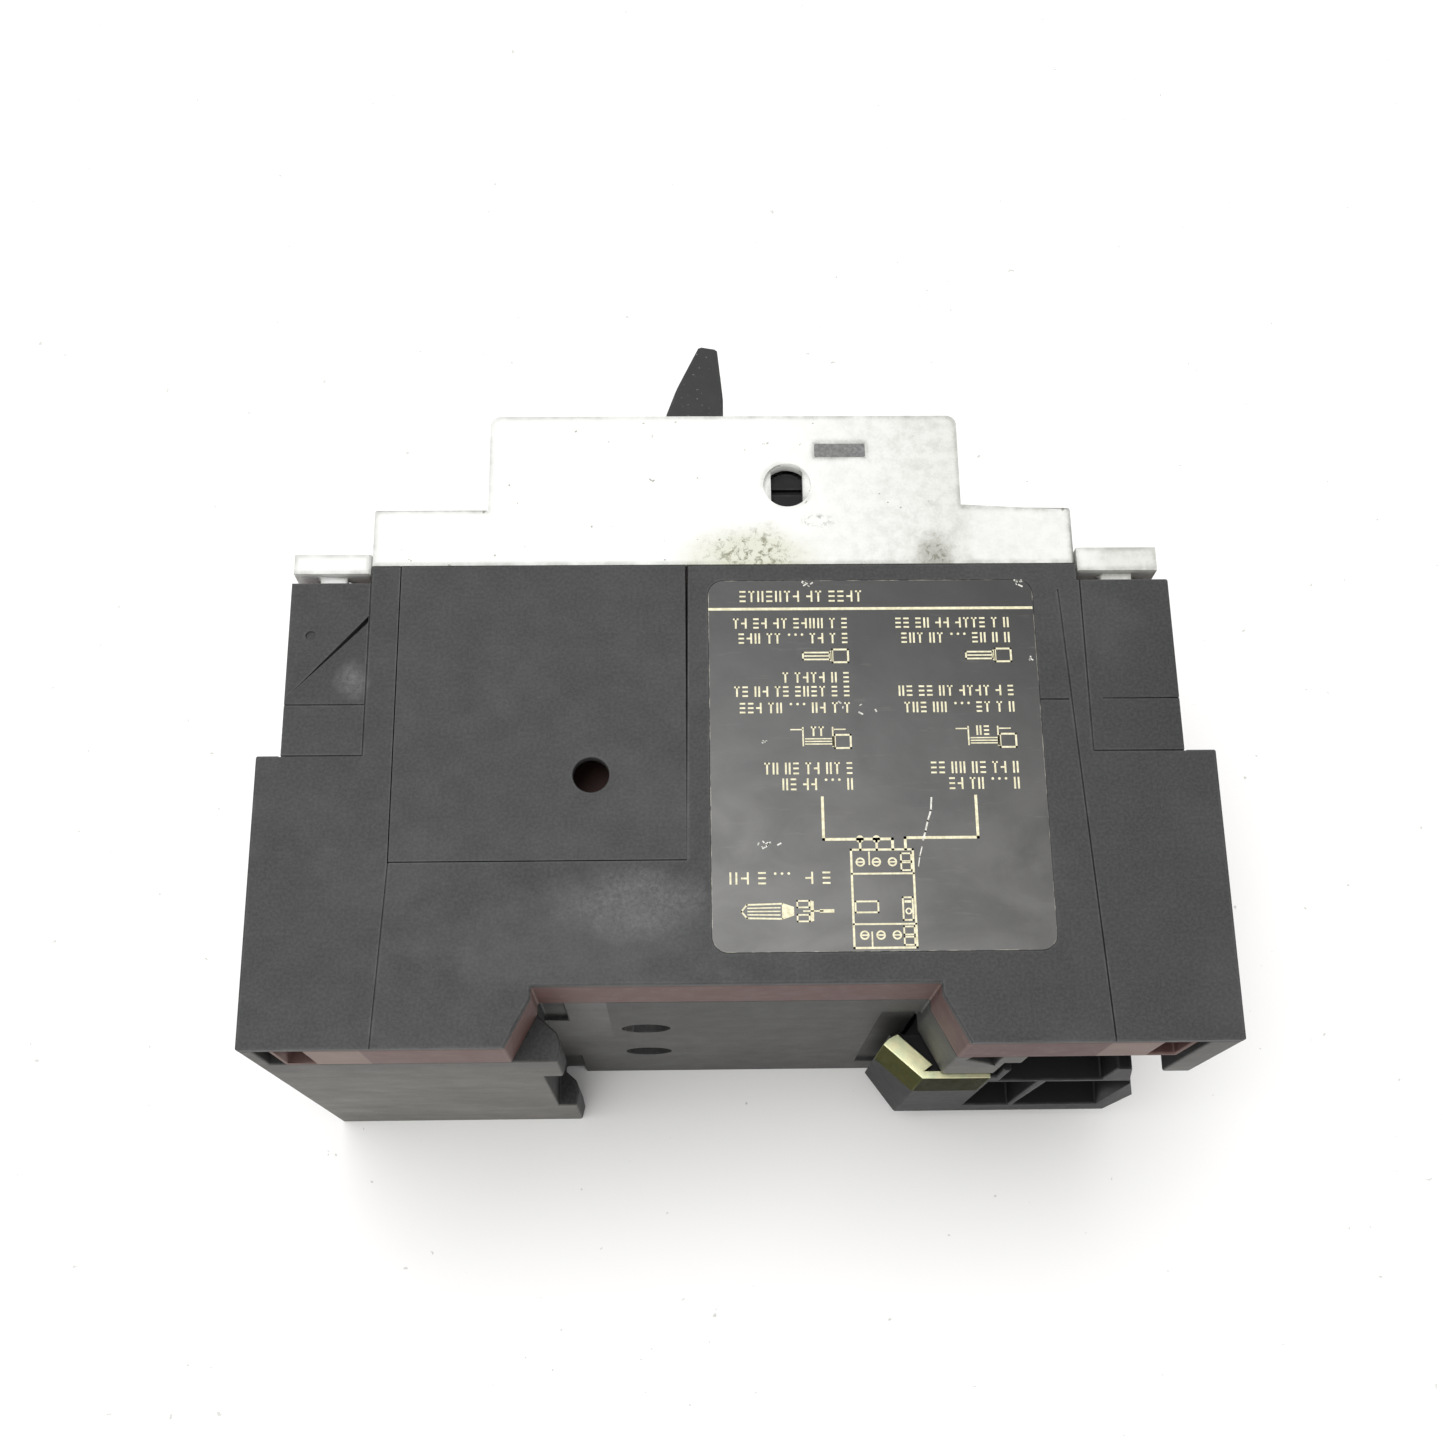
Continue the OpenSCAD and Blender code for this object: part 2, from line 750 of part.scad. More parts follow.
module latch_plate() {
    y0 = slider_back - 0.15;
    y1 = y0 + latch_plate_t;
    color([0.78, 0.72, 0.42]) {
        slab([
            [plate_x[0], -2.45], [plate_x[1], y0], [plate_x[2], y0], [plate_x[2], y1],
            [plate_x[1] + 0.3, y1], [slider_nose[0][0] - 0.4 + 0.27, -1.85]
        ], plate_z0, plate_z1);
        slab([
            [slider_nose[0][0] - 0.13, -1.85], [plate_x[1] + 0.3, y1], [plate_x[1] + 1.1, y1 + 0.6],
            [slider_nose[0][0] + 0.8, -1.4]
        ], plate_z1 - 0.8, plate_z1);
    }
}

module slider_spring() {
    color("silver")
        translate([spring_start + fit_clear, -0.3, spring_z])
            rotate([0, 90, 0]) spring(spring_stop - spring_start - 2 * fit_clear, 0.95, 0.2, 12);
}

// ---- Lever and mechanism ----

module toggle_lever() {
    head = lever_l - 6.5;
    color([0.1, 0.1, 0.11])
        translate([pivot_x, pivot_y, 0])
            rotate([0, 0, -lever_lean]) {
                slab([
                    [-3, drum_r - 0.6], [-3.4, head - 3], [-2.9, head], [-1.15, lever_l - 0.2],
                    [-0.8, lever_l], [0.8, lever_l], [1.15, lever_l - 0.2], [2.9, head],
                    [3.4, head - 3], [3, drum_r - 0.6]
                ], lever_z0, lever_z1);
                lever_drum();
                difference() {
                    union() {
                        cylinder_z(lever_z0, lever_z1, 3.2);
                        block([-2, -arm_l, lever_z - 1], [2, 0, lever_z + 1]);
                        translate([0, -arm_l, 0]) cylinder_z(lever_z - 1, lever_z + 1, 2);
                    }
                    cylinder_z(lever_z0 - over, lever_z1 + over, pin_r + run_clear);
                    translate([0, -arm_l, 0]) cylinder_z(lever_z - 2, lever_z + 2, 1 + run_clear);
                }
            }
}

module cylinder_z(z0, z1, r) {
    translate([0, 0, z0]) cylinder(h = z1 - z0, r = r);
}

// The drum that closes the opening, with a cheek at each end
module lever_drum() {
    half = 60;
    reach = drum_r * 2;
    intersection() {
        difference() {
            cylinder_z(lever_z0, lever_z1, drum_r);
            cylinder_z(lever_z0 + 1.5, lever_z1 - 1.5, drum_r - 1.6);
            cylinder_z(lever_z0 - over, lever_z1 + over, 2.6);
        }
        slab([
            [0, 0], [reach * sin(half), reach * cos(half)], [reach * sin(half), reach * 2],
            [-reach * sin(half), reach * 2], [-reach * sin(half), reach * cos(half)]
        ], lever_z0 - over, lever_z1 + over);
    }
}

module lever_pin() {
    color("silver")
        rod_z(pivot_x, pivot_y, frame_z0 - 0.8, frame_z1 + 0.8, pin_r);
}

module mechanism_frame() {
    web = line_neck + neck_wall;
    color([0.7, 0.68, 0.6])
        difference() {
            union() {
                for (z = [frame_z0, frame_z1 - frame_t])
                    slab([
                        [web, frame_foot_y], [web, frame_top_y], [line_front + wall + 0.6, frame_top_y],
                        [pivot_x - 8, pivot_y + 4.5], [pivot_x + 8, pivot_y + 4.5],
                        [8, pivot_y - 2], [8, frame_foot_y]
                    ], z, z + frame_t);
                block([web, frame_foot_y, frame_z0], [web + frame_t, frame_top_y, frame_z1]);
                rod_z(latch_x, latch_y, frame_z0, frame_z1, latch_pin_r);
            }
            rod_z(pivot_x, pivot_y, frame_z0 - over, frame_z1 + over, pin_r);
        }
}

module drive_link() {
    foot = [arm_pin[0] - 4, 30.5];
    color("silver") {
        for (z = [lever_z - 2.4, lever_z + 1.3]) {
            slab([
                [foot[0] - 1.5, foot[1]], [foot[0] + 1.5, foot[1]],
                [arm_pin[0] + 1.5, arm_pin[1]], [arm_pin[0] - 1.5, arm_pin[1]]
            ], z, z + 1.1);
            for (end = [arm_pin, foot])
                rod_z(end[0], end[1], z, z + 1.1, 1.6);
        }
        rod_z(arm_pin[0], arm_pin[1], lever_z - 2, lever_z + 2, 1);
        rod_z(foot[0], foot[1], lever_z - 2, lever_z + 2, 0.8);
    }
}

module latch() {
    z1 = latch_z + latch_t;
    color([0.6, 0.6, 0.62])
        difference() {
            union() {
                rod_z(latch_x, latch_y, latch_z, z1, 2.4);
                translate([latch_x, latch_y, 0])
                    slab([
                        [0, -1.2], [11.9, -1], [11.9, 0.6], [8.5, 0.9], [0, 1.6], [-5.9, 1.4],
                        [-6.1, -0.8], [-4.9, 0]
                    ], latch_z, z1);
            }
            rod_z(latch_x, latch_y, latch_z - over, z1 + over, latch_pin_r + run_clear);
        }
}

module main_spring() {
    web = line_neck + neck_wall + frame_t;
    color("silver")
        translate([web + 0.1, arm_pin[1], lever_z])
            rotate([0, 90, 0]) spring(arm_pin[0] - 2.2 - web - 0.1, 1.7, 0.35, 12);
}

module trip_bar() {
    color([0.75, 0.72, 0.62]) {
        rod_z(trip_x, trip_y, z_in_right - 0.8, z_in_left + 0.8, trip_r);
        for (z = poles) {
            block([coil_x - 2.5, trip_y - 1.1, z - 1.5], [trip_x, trip_y - 0.1, z + 1.5]);
            block([trip_x + 0.2, trip_y - 6, z - 1.5], [trip_x + 1.4, trip_y, z + 1.5]);
        }
        slab([
            [trip_x - 1, trip_y], [trip_x - 4.6, trip_y + 2.4], [trip_x - 4.6, trip_y + 5],
            [trip_x - 3.4, trip_y + 5], [trip_x - 3.2, trip_y + 3], [trip_x + 1, trip_y + 1]
        ], latch_z, latch_z + latch_t);
    }
}

// ---- Coupling shaft, dial and test button ----

module coupling_shaft() {
    color([0.12, 0.12, 0.13])
        difference() {
            union() {
                rod_z(coupling_x, coupling_y, 0.2, z_left - wall - 0.2, coupling_r);
                rod_z(coupling_x, coupling_y, 3, 4.5, coupling_r + 0.7);
            }
            block([coupling_x - 3, coupling_y - 0.3, z_left - wall - 0.8],
                  [coupling_x + 3, coupling_y + 0.3, z_left]);
        }
}

module adjuster_bracket() {
    y1 = bracket_y + bracket_t;
    color([0.72, 0.72, 0.7])
        difference() {
            union() {
                block([line_front + 4, bracket_y, 0.6], [load_front - 2.4, y1, z_left - wall - 1.2]);
                for (z = [1, z_left - wall - 3.4])
                    block([coupling_x - 3.6, bracket_y, z], [coupling_x + 3.6, coupling_y + 3.4, z + 1.2]);
                for (x = [line_front + 4, load_front - 5.4])
                    block([x, split_y, z_in_left + 0.1], [x + 3, y1, z_split]);
            }
            rod_z(coupling_x, coupling_y, 0, z_left, coupling_r + run_clear);
            rod_y(dial_x, dial_z, split_y - over, y1 + over, 2 + run_clear);
            rod_y(test_x, test_z, split_y, y1 + over, 1.6);
        }
}

module current_dial() {
    y1 = bracket_y + bracket_t;
    color([0.9, 0.88, 0.8])
        difference() {
            union() {
                rod_y(dial_x, dial_z, front_y - 2.6, front_y + 0.4, dial_r);
                rod_y(dial_x, dial_z, y1 + fit_clear, front_y - 2.4, 3);
                rod_y(dial_x, dial_z, bracket_y - 2.8, y1 + over, 2);
            }
            block([dial_x - dial_r * 0.8, front_y - 0.8, dial_z - 0.6],
                  [dial_x + dial_r * 0.8, front_y + over, dial_z + 0.6]);
        }
}

module test_button() {
    y1 = bracket_y + bracket_t;
    color([0.75, 0.2, 0.15]) {
        rod_y(test_x, test_z, roof_y - 1.3, front_y + 0.3, test_r);
        rod_y(test_x, test_z, roof_y - 1.3, roof_y - 0.1, test_r + 0.9);
        rod_y(test_x, test_z, y1 - 0.8, roof_y - 1, 1.1);
    }
}

module test_spring() {
    y1 = bracket_y + bracket_t;
    color("silver")
        translate([test_x, y1, test_z])
            rotate([-90, 0, 0]) spring(roof_y - 1.3 - y1, 1.9, 0.25, 7);
}

// ---- Contacts ----

module contact_carrier() {
    color([0.75, 0.72, 0.62]) {
        block([contact_x - carrier_hw, carrier_y, z_in_right + 0.5],
              [contact_x + carrier_hw, carrier_y + carrier_h, z_in_left - 0.5]);
        for (z = poles)
            difference() {
                block([contact_x - 1, bridge_y - 1.7, z - bridge_hw - 1.2],
                      [contact_x + 1, carrier_y + over, z + bridge_hw + 1.2]);
                block([contact_x - 2, bridge_y - 0.1, z - bridge_hw - 0.3],
                      [contact_x + 2, carrier_y, z + bridge_hw + 0.3]);
            }
        for (z = [lever_z - 3.8, lever_z + 2.7])
            block([contact_x - 2, carrier_y + over, z], [contact_x + 2, 31, z + 1.1]);
    }
}

module contact_springs() {
    y0 = bridge_y + bridge_t;
    color("silver")
        for (z = poles)
            translate([contact_x, y0, z]) rotate([-90, 0, 0]) spring(carrier_y - y0, 1.5, 0.25, 8);
}

module contact_bridge(i) {
    z = poles[i - 1];
    color([0.85, 0.6, 0.4]) {
        block([contact_line_x - 1.7, bridge_y, z - bridge_hw],
              [contact_load_x + 1.7, bridge_y + bridge_t, z + bridge_hw]);
        for (x = [contact_line_x, contact_load_x])
            rod_y(x, z, bridge_y - 0.8, bridge_y + 0.5, pad_r - 0.1);
    }
}

// A fixed contact pad on its strap
module contact_pad(x, z) {
    rod_y(x, z, contact_y - 0.5, contact_y + pad_h, pad_r);
}

module line_strap(i) {
    z = poles[i - 1];
    x1 = line_neck + 0.1;
    y0 = contact_y - strap_t;
    color([0.8, 0.5, 0.3])
        difference() {
            union() {
                block([line_in + 0.3, tongue_y - strap_t, z - tongue_hw],
                      [x1 + strap_t, tongue_y, z + tongue_hw]);
                block([x1, y0, z - 4], [x1 + strap_t, tongue_y, z + 4]);
                block([x1, y0, z - 3], [contact_line_x + 2, contact_y, z + 3]);
                contact_pad(contact_line_x, z);
            }
            rod_y(line_screw_x, z, tongue_y - 3, tongue_y + over, screw_r);
        }
}

module middle_strap(i) {
    z = poles[i - 1];
    x0 = contact_load_x - 2;
    x1 = contact_load_x + 4.2;
    color([0.8, 0.5, 0.3]) {
        block([x0, contact_y - strap_t, z - 3], [x1, contact_y, z + 3]);
        block([x1 - strap_t, floor_y + 0.8, z - 3], [x1, contact_y, z + 3]);
        block([x1 - strap_t, floor_y + 0.8, z - 3], [coil_x - 4.6, floor_y + 0.8 + strap_t, z + 3]);
        contact_pad(contact_load_x, z);
    }
}

module load_strap(i) {
    z = poles[i - 1];
    x0 = load_neck - 0.9;
    y1 = strap_floor + strap_t;
    color([0.8, 0.5, 0.3])
        difference() {
            union() {
                block([bimetal_x - 1.2, strap_floor, z - 3], [x0 + strap_t, y1, z + 3]);
                block([x0, strap_floor, z - 4], [x0 + strap_t, tongue_y, z + 4]);
                block([x0, tongue_y - strap_t, z - tongue_hw], [load_in - 0.3, tongue_y, z + tongue_hw]);
            }
            rod_y(load_screw_x, z, tongue_y - 3, tongue_y + over, screw_r);
        }
}

// Two stacks of steel plates, one beyond each end of the bridge
module arc_chute(i) {
    z = poles[i - 1];
    y0 = contact_y + 0.8;
    step = (step_y - 0.6 - y0) / chute_plates;
    color([0.6, 0.62, 0.64])
        for (x0 = [contact_line_x - 9.1, contact_load_x + 3.1]) {
            for (side = [-1, 1])
                block([x0, y0, z + side * 4.7 - 0.4], [x0 + 5.9, step_y - 0.6, z + side * 4.7 + 0.4]);
            for (k = [0 : chute_plates - 1])
                block([x0, y0 + k * step + 0.3, z - 4.8], [x0 + 5.9, y0 + k * step + 1.1, z + 4.8]);
        }
}

// ---- Trips ----

module trip_coil(i) {
    z = poles[i - 1];
    top = coil_y + coil_pitch * (coil_turns - 1);
    color([0.75, 0.42, 0.25]) {
        translate([coil_x, 0, z])
            rotate([-90, 0, 0]) {
                difference() {
                    translate([0, 0, coil_y - 1]) cylinder(h = top - coil_y + 2, r = coil_r - 0.85);
                    cylinder(h = top + 5, r = coil_bore);
                }
                for (k = [0 : coil_turns - 1])
                    translate([0, 0, coil_y + k * coil_pitch])
                        rotate_extrude() translate([coil_r, 0]) circle(r = coil_wire_r, $fn = 24);
            }
        block([coil_x - coil_r - 1.7, floor_y + 0.8 + strap_t, z - 1],
              [coil_x - coil_r - 0.4, coil_y + 0.6, z + 1]);
        block([coil_x + 1.6, top - 0.6, z + 3], [bimetal_x - 1, top + 0.6, z + 4.2]);
    }
}

module magnet_yokes() {
    color([0.55, 0.57, 0.6])
        for (z = poles)
            difference() {
                union() {
                    block([coil_x - 4.5, coil_y - 2.6, z - 4.4], [coil_x + 7.2, coil_y - 1.4, z + 4.4]);
                    block([coil_x - 4.5, yoke_top - 1.2, z - 4.4], [coil_x + 7.2, yoke_top, z + 4.4]);
                    block([coil_x + 6, coil_y - 2.6, z - 2.4], [coil_x + 7.2, yoke_top, z + 2.4]);
                }
                rod_y(coil_x, z, yoke_top - 2, yoke_top + over, coil_bore);
            }
}

module plunger(i) {
    z = poles[i - 1];
    color([0.7, 0.7, 0.72]) {
        rod_y(coil_x, z, coil_y - 0.8, yoke_top - 0.4, plunger_r);
        rod_y(coil_x, z, yoke_top - 1, plunger_top, 1);
    }
}

module bimetal(i) {
    z = poles[i - 1];
    color([0.8, 0.78, 0.7]) {
        block([bimetal_x, strap_floor + strap_t, z - 2.5], [bimetal_x + 1, trip_y - 3.5, z + 2.5]);
        block([bimetal_x - 0.7, heater_y - 0.2, z - 3.1],
              [bimetal_x + 1.7, heater_y + heater_turns * heater_pitch - 0.2, z + 3.1]);
        for (k = [0 : heater_turns - 1])
            block([bimetal_x - 1, heater_y + heater_pitch * k, z - 3.4],
                  [bimetal_x + 2, heater_y + heater_pitch * k + 1, z + 3.4]);
    }
}

// ---- Main terminals ----

module saddles(screw_x) {
    color("silver")
        for (z = poles)
            difference() {
                block([screw_x - saddle_hl, saddle_y, z - tongue_hw + 0.3],
                      [screw_x + saddle_hl, saddle_y + saddle_t, z + tongue_hw - 0.3]);
                rod_y(screw_x, z, saddle_y - over, saddle_y + 3, screw_r + fit_clear);
            }
}

module terminal_screws(screw_x) {
    y1 = saddle_y + saddle_t;
    color("silver")
        for (z = poles)
            difference() {
                union() {
                    rod_y(screw_x, z, y1, y1 + head_h, head_r);
                    rod_y(screw_x, z, step_y + 0.9, y1 + 0.5, screw_r);
                }
                cross_recess(screw_x, z, y1 + head_h, -1.3, 3.8);
            }
}

// ---- Auxiliary module ----

module module_strap(side) {
    inner = side < 0 ? line_in : load_in;
    neck = side < 0 ? line_neck : load_neck;
    screw_x = side < 0 ? line_screw_x : load_screw_x;
    drop = neck - side * 2.6;
    tip = module_x + side * 4;
    z0 = module_z - module_hw + 0.3;
    z1 = module_z + module_hw - 0.3;
    difference() {
        union() {
            block([min(inner - side * 0.3, drop), module_tongue_y - 1, z0],
                  [max(inner - side * 0.3, drop), module_tongue_y, z1]);
            block([min(drop, drop - side), module_strap_y - 1, z0],
                  [max(drop, drop - side), module_tongue_y, z1]);
            block([min(drop, tip), module_strap_y - 1, z0], [max(drop, tip), module_strap_y, z1]);
            rod_y(module_x + side * 5.5, module_z, module_strap_y - 0.5, module_strap_y + 0.8, 1.2);
        }
        rod_y(screw_x, module_z, module_tongue_y - 3, module_tongue_y + over, module_screw_r);
    }
}

// The module's two straps, each with its terminal screw
module module_straps() {
    color([0.8, 0.6, 0.4]) {
        module_strap(-1);
        module_strap(1);
        for (x = [line_screw_x, load_screw_x])
            difference() {
                union() {
                    rod_y(x, module_z, module_tongue_y - 5.5, module_tongue_y + 6, module_screw_r);
                    rod_y(x, module_z, module_tongue_y + 5.2, module_tongue_y + 7.4, module_screw_r + 0.8);
                }
                cross_recess(x, module_z, module_tongue_y + 7.4, -1.1, 3);
            }
    }
}

module module_bridge() {
    y0 = module_strap_y + 0.8 + contact_gap + 0.8;
    color([0.85, 0.6, 0.4]) {
        block([module_x - 7, y0, module_z - module_hw + 0.8],
              [module_x + 7, y0 + 0.8, module_z + module_hw - 0.8]);
        for (side = [-1, 1])
            rod_y(module_x + side * 5.5, module_z, y0 - 0.8, y0 + 0.4, 1.2);
    }
}

module module_plunger() {
    y0 = module_strap_y + 0.8 + contact_gap + 0.8;
    color([0.75, 0.72, 0.62])
        difference() {
            block([module_x - 1.4, y0 - 1.9, module_z - module_hw],
                  [module_x + 1.4, split_y + 2, module_z + module_hw]);
            block([module_x - 3, y0 - 0.1, module_z - module_hw + 0.7],
                  [module_x + 3, y0 + 0.9, module_z + module_hw - 0.7]);
        }
}

module module_spring() {
    y1 = module_strap_y + 0.8 + contact_gap - 1.1;
    color("silver")
        translate([module_x, 2, module_z]) rotate([-90, 0, 0]) spring(y1 - 2, 1.2, 0.2, 9);
}

base_housing();
upper_housing();
front_cover();
line_terminal_cover();
load_terminal_cover();
module_housing();
side_cover();
blanking_panel();
side_label();
housing_screws();
rail_slider();
latch_plate();
slider_spring();
toggle_lever();
lever_pin();
mechanism_frame();
drive_link();
latch();
main_spring();
trip_bar();
coupling_shaft();
adjuster_bracket();
current_dial();
test_button();
test_spring();
contact_carrier();
contact_springs();
contact_bridge(1);  // contact_bridge_1
contact_bridge(2);  // contact_bridge_2
contact_bridge(3);  // contact_bridge_3
line_strap(1);  // line_strap_1
line_strap(2);  // line_strap_2
line_strap(3);  // line_strap_3
middle_strap(1);  // middle_strap_1
middle_strap(2);  // middle_strap_2
middle_strap(3);  // middle_strap_3
load_strap(1);  // load_strap_1
load_strap(2);  // load_strap_2
load_strap(3);  // load_strap_3
arc_chute(1);  // arc_chute_1
arc_chute(2);  // arc_chute_2
arc_chute(3);  // arc_chute_3
trip_coil(1);  // trip_coil_1
trip_coil(2);  // trip_coil_2
trip_coil(3);  // trip_coil_3
magnet_yokes();
plunger(1);  // plunger_1
plunger(2);  // plunger_2
plunger(3);  // plunger_3
bimetal(1);  // bimetal_1
bimetal(2);  // bimetal_2
bimetal(3);  // bimetal_3
saddles(line_screw_x);  // line_clamps
saddles(load_screw_x);  // load_clamps
terminal_screws(line_screw_x);  // line_screws
terminal_screws(load_screw_x);  // load_screws
module_straps();
module_bridge();
module_plunger();
module_spring();
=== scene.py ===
"""Looks of a three pole motor protection breaker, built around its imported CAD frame."""

import json
import math
import random

import bmesh
import bpy
from mathutils import Matrix, Vector

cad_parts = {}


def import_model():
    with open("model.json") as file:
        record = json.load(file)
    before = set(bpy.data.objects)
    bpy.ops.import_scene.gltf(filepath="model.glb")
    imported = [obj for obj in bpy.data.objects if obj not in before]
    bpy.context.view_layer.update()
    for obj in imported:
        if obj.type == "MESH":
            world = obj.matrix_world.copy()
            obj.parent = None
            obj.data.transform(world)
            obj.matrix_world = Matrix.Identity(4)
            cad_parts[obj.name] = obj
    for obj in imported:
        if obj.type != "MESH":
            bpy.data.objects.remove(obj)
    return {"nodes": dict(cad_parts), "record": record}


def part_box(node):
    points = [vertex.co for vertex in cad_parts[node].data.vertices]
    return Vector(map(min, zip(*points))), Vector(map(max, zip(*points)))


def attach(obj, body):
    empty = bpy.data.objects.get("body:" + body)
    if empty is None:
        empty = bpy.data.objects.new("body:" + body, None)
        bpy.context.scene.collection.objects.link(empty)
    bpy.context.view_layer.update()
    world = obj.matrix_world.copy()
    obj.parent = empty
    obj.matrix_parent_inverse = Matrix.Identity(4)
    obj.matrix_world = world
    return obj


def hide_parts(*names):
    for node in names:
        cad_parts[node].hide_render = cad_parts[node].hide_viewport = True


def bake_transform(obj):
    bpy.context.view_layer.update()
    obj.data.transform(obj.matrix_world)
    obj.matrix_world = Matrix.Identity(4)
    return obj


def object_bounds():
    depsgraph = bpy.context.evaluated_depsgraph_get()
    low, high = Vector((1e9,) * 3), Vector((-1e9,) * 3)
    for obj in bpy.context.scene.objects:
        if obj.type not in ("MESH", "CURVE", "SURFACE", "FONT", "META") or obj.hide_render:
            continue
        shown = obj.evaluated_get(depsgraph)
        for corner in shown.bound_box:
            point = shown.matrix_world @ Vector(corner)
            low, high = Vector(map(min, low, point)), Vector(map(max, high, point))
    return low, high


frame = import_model()
cad_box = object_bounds()
scene = bpy.context.scene
nodes = frame["nodes"]
draws = random.Random(41)
MM = 0.001

# Mesh clean-up and rounding of the copied CAD nodes.
MERGE_MM = 0.002
FLAT_DEG = 0.6
ROUND_OVER_DEG = 28
SHADE_SHARP_DEG = 40
ROOM_IN_WIDTHS = 1.7
NEEDLE_COSINE = 0.88

# The dial's printed scale, in millimetres from its middle.
SCALE_START, SCALE_SHORT, SCALE_LONG, SCALE_FIGURES = 5.8, 6.6, 7.1, 8.5
DIAL_PROUD = 0.4

# The strip behind the cover's narrow slot: its low corner in X and Y, its depth below the face, its size.
SLOT_CORNER = (8.0, 52.55)
SLOT_DEPTH = 0.42
SLOT_SIZE = (5.1, 1.55)

# The photograph's camera, fitted to the object's outline, in millimetres and row frame directions.
EYE = (-5.303, -30.726, 189.438)
EYE_RIGHT = (0.99973, -0.01359, 0.01893)
EYE_UP = (0.00674, 0.94621, 0.32347)
LENS, SENSOR = 45.43, 36

FLOOR_REACH = 2.5

SLOT_OF = {p["node"]: p["material_slot"] for p in frame["record"]["subparts"]}
BODY_OF = {n: body for body, names in frame["record"]["behaviour"]["bodies"].items() for n in names}


# ---- Materials ----

class Finish:
    """One node material. Each short call adds nodes and returns the output that carries its result."""

    def __init__(self, name, **values):
        self.material = bpy.data.materials.new(name)
        self.material.use_nodes = True
        self.tree = self.material.node_tree
        self.shader = self.tree.nodes["Principled BSDF"]
        for socket, value in values.items():
            self.shader.inputs[socket.replace("_", " ")].default_value = value
        self.place = self.node("ShaderNodeTexCoord").outputs["Object"]

    def node(self, kind, **inputs):
        made = self.tree.nodes.new(kind)
        for socket, value in inputs.items():
            self.put(value, made.inputs[socket])
        return made

    def put(self, value, socket):
        if isinstance(value, bpy.types.NodeSocket):
            self.tree.links.new(value, socket)
        else:
            socket.default_value = value

    def stretched(self, scale):
        """Object coordinates in millimetres, squeezed by a factor along each axis."""
        made = self.node("ShaderNodeMapping", Vector=self.place)
        made.inputs["Scale"].default_value = [s / MM for s in scale]
        return made.outputs["Vector"]

    def noise(self, size, detail=3.0, rough=0.55, stretch=(1, 1, 1), distort=0.0):
        """Soft noise whose blobs are about size millimetres across."""
        made = self.node("ShaderNodeTexNoise", Vector=self.stretched(stretch), Scale=1 / size,
                         Detail=detail, Roughness=rough, Distortion=distort)
        return made.outputs["Fac"]

    def ramp(self, value, *stops):
        """A colour ramp; each stop is a place and a grey level or a colour."""
        made = self.node("ShaderNodeValToRGB", Fac=value)
        elements = made.color_ramp.elements
        while len(elements) < len(stops):
            elements.new(1.0)
        for element, (at, colour) in zip(elements, stops):
            element.position = at
            element.color = (*(colour if isinstance(colour, tuple) else (colour,) * 3), 1)
        return made.outputs["Color"]

    def mix(self, share, a, b, how="MIX"):
        made = self.tree.nodes.new("ShaderNodeMix")
        made.data_type = "RGBA"
        made.blend_type = how
        for value, socket in ((share, made.inputs[0]), (a, made.inputs[6]), (b, made.inputs[7])):
            self.put((*value, 1) if isinstance(value, tuple) else value, socket)
        return made.outputs[2]

    def sums(self, how, a, b):
        made = self.tree.nodes.new("ShaderNodeMath")
        made.operation = how
        self.put(a, made.inputs[0])
        self.put(b, made.inputs[1])
        return made.outputs[0]

    def along(self, axis, start, end):
        """0 before start and 1 after end, in millimetres along one axis of the row frame."""
        split = self.node("ShaderNodeSeparateXYZ", Vector=self.stretched((1, 1, 1)))
        made = self.node("ShaderNodeMapRange", Value=split.outputs[axis])
        made.inputs["From Min"].default_value = start
        made.inputs["From Max"].default_value = end
        return made.outputs["Result"]

    def patch(self, centre, half, ragged=0.6, size=2.5):
        """1 inside a ragged oval in the side view, 0 outside; centre and half are in millimetres."""
        made = self.node("ShaderNodeMapping", Vector=self.place)
        made.inputs["Scale"].default_value = (1 / (half[0] * MM), 1 / (half[1] * MM), 0)
        made.inputs["Location"].default_value = (-centre[0] / half[0], -centre[1] / half[1], 0)
        reach = self.tree.nodes.new("ShaderNodeVectorMath")
        reach.operation = "LENGTH"
        self.put(made.outputs["Vector"], reach.inputs[0])
        border = self.sums("MULTIPLY", self.noise(size, 5, 0.7), ragged)
        total = self.sums("ADD", reach.outputs["Value"], border)
        return self.ramp(self.sums("MULTIPLY", total, 0.5), (0.42, 1.0), (0.72, 0.0))

    def facing(self, axis, sign):
        """1 on faces that look along an axis, 0 on faces square to it."""
        normal = self.node("ShaderNodeNewGeometry").outputs["Normal"]
        split = self.node("ShaderNodeSeparateXYZ", Vector=normal)
        made = self.node("ShaderNodeMapRange", Value=split.outputs[axis])
        made.inputs["From Min"].default_value = 0.45 * sign
        made.inputs["From Max"].default_value = 0.85 * sign
        return made.outputs["Result"]

    def both(self, *shares):
        """The product of several shares."""
        total = shares[0]
        for share in shares[1:]:
            total = self.sums("MULTIPLY", total, share)
        return total

    def less(self, share):
        return self.sums("SUBTRACT", 1.0, share)

    def edges(self, radius, low=0.02, high=0.25):
        """1 on edges and corners, 0 on flats."""
        soft = self.node("ShaderNodeBevel", Radius=radius * MM)
        soft.samples = 4
        flat = self.node("ShaderNodeNewGeometry").outputs["Normal"]
        made = self.tree.nodes.new("ShaderNodeVectorMath")
        made.operation = "DISTANCE"
        self.put(soft.outputs["Normal"], made.inputs[0])
        self.put(flat, made.inputs[1])
        return self.ramp(made.outputs["Value"], (low, 0.0), (high, 1.0))

    def colour(self, value):
        self.put(value, self.shader.inputs["Base Color"])

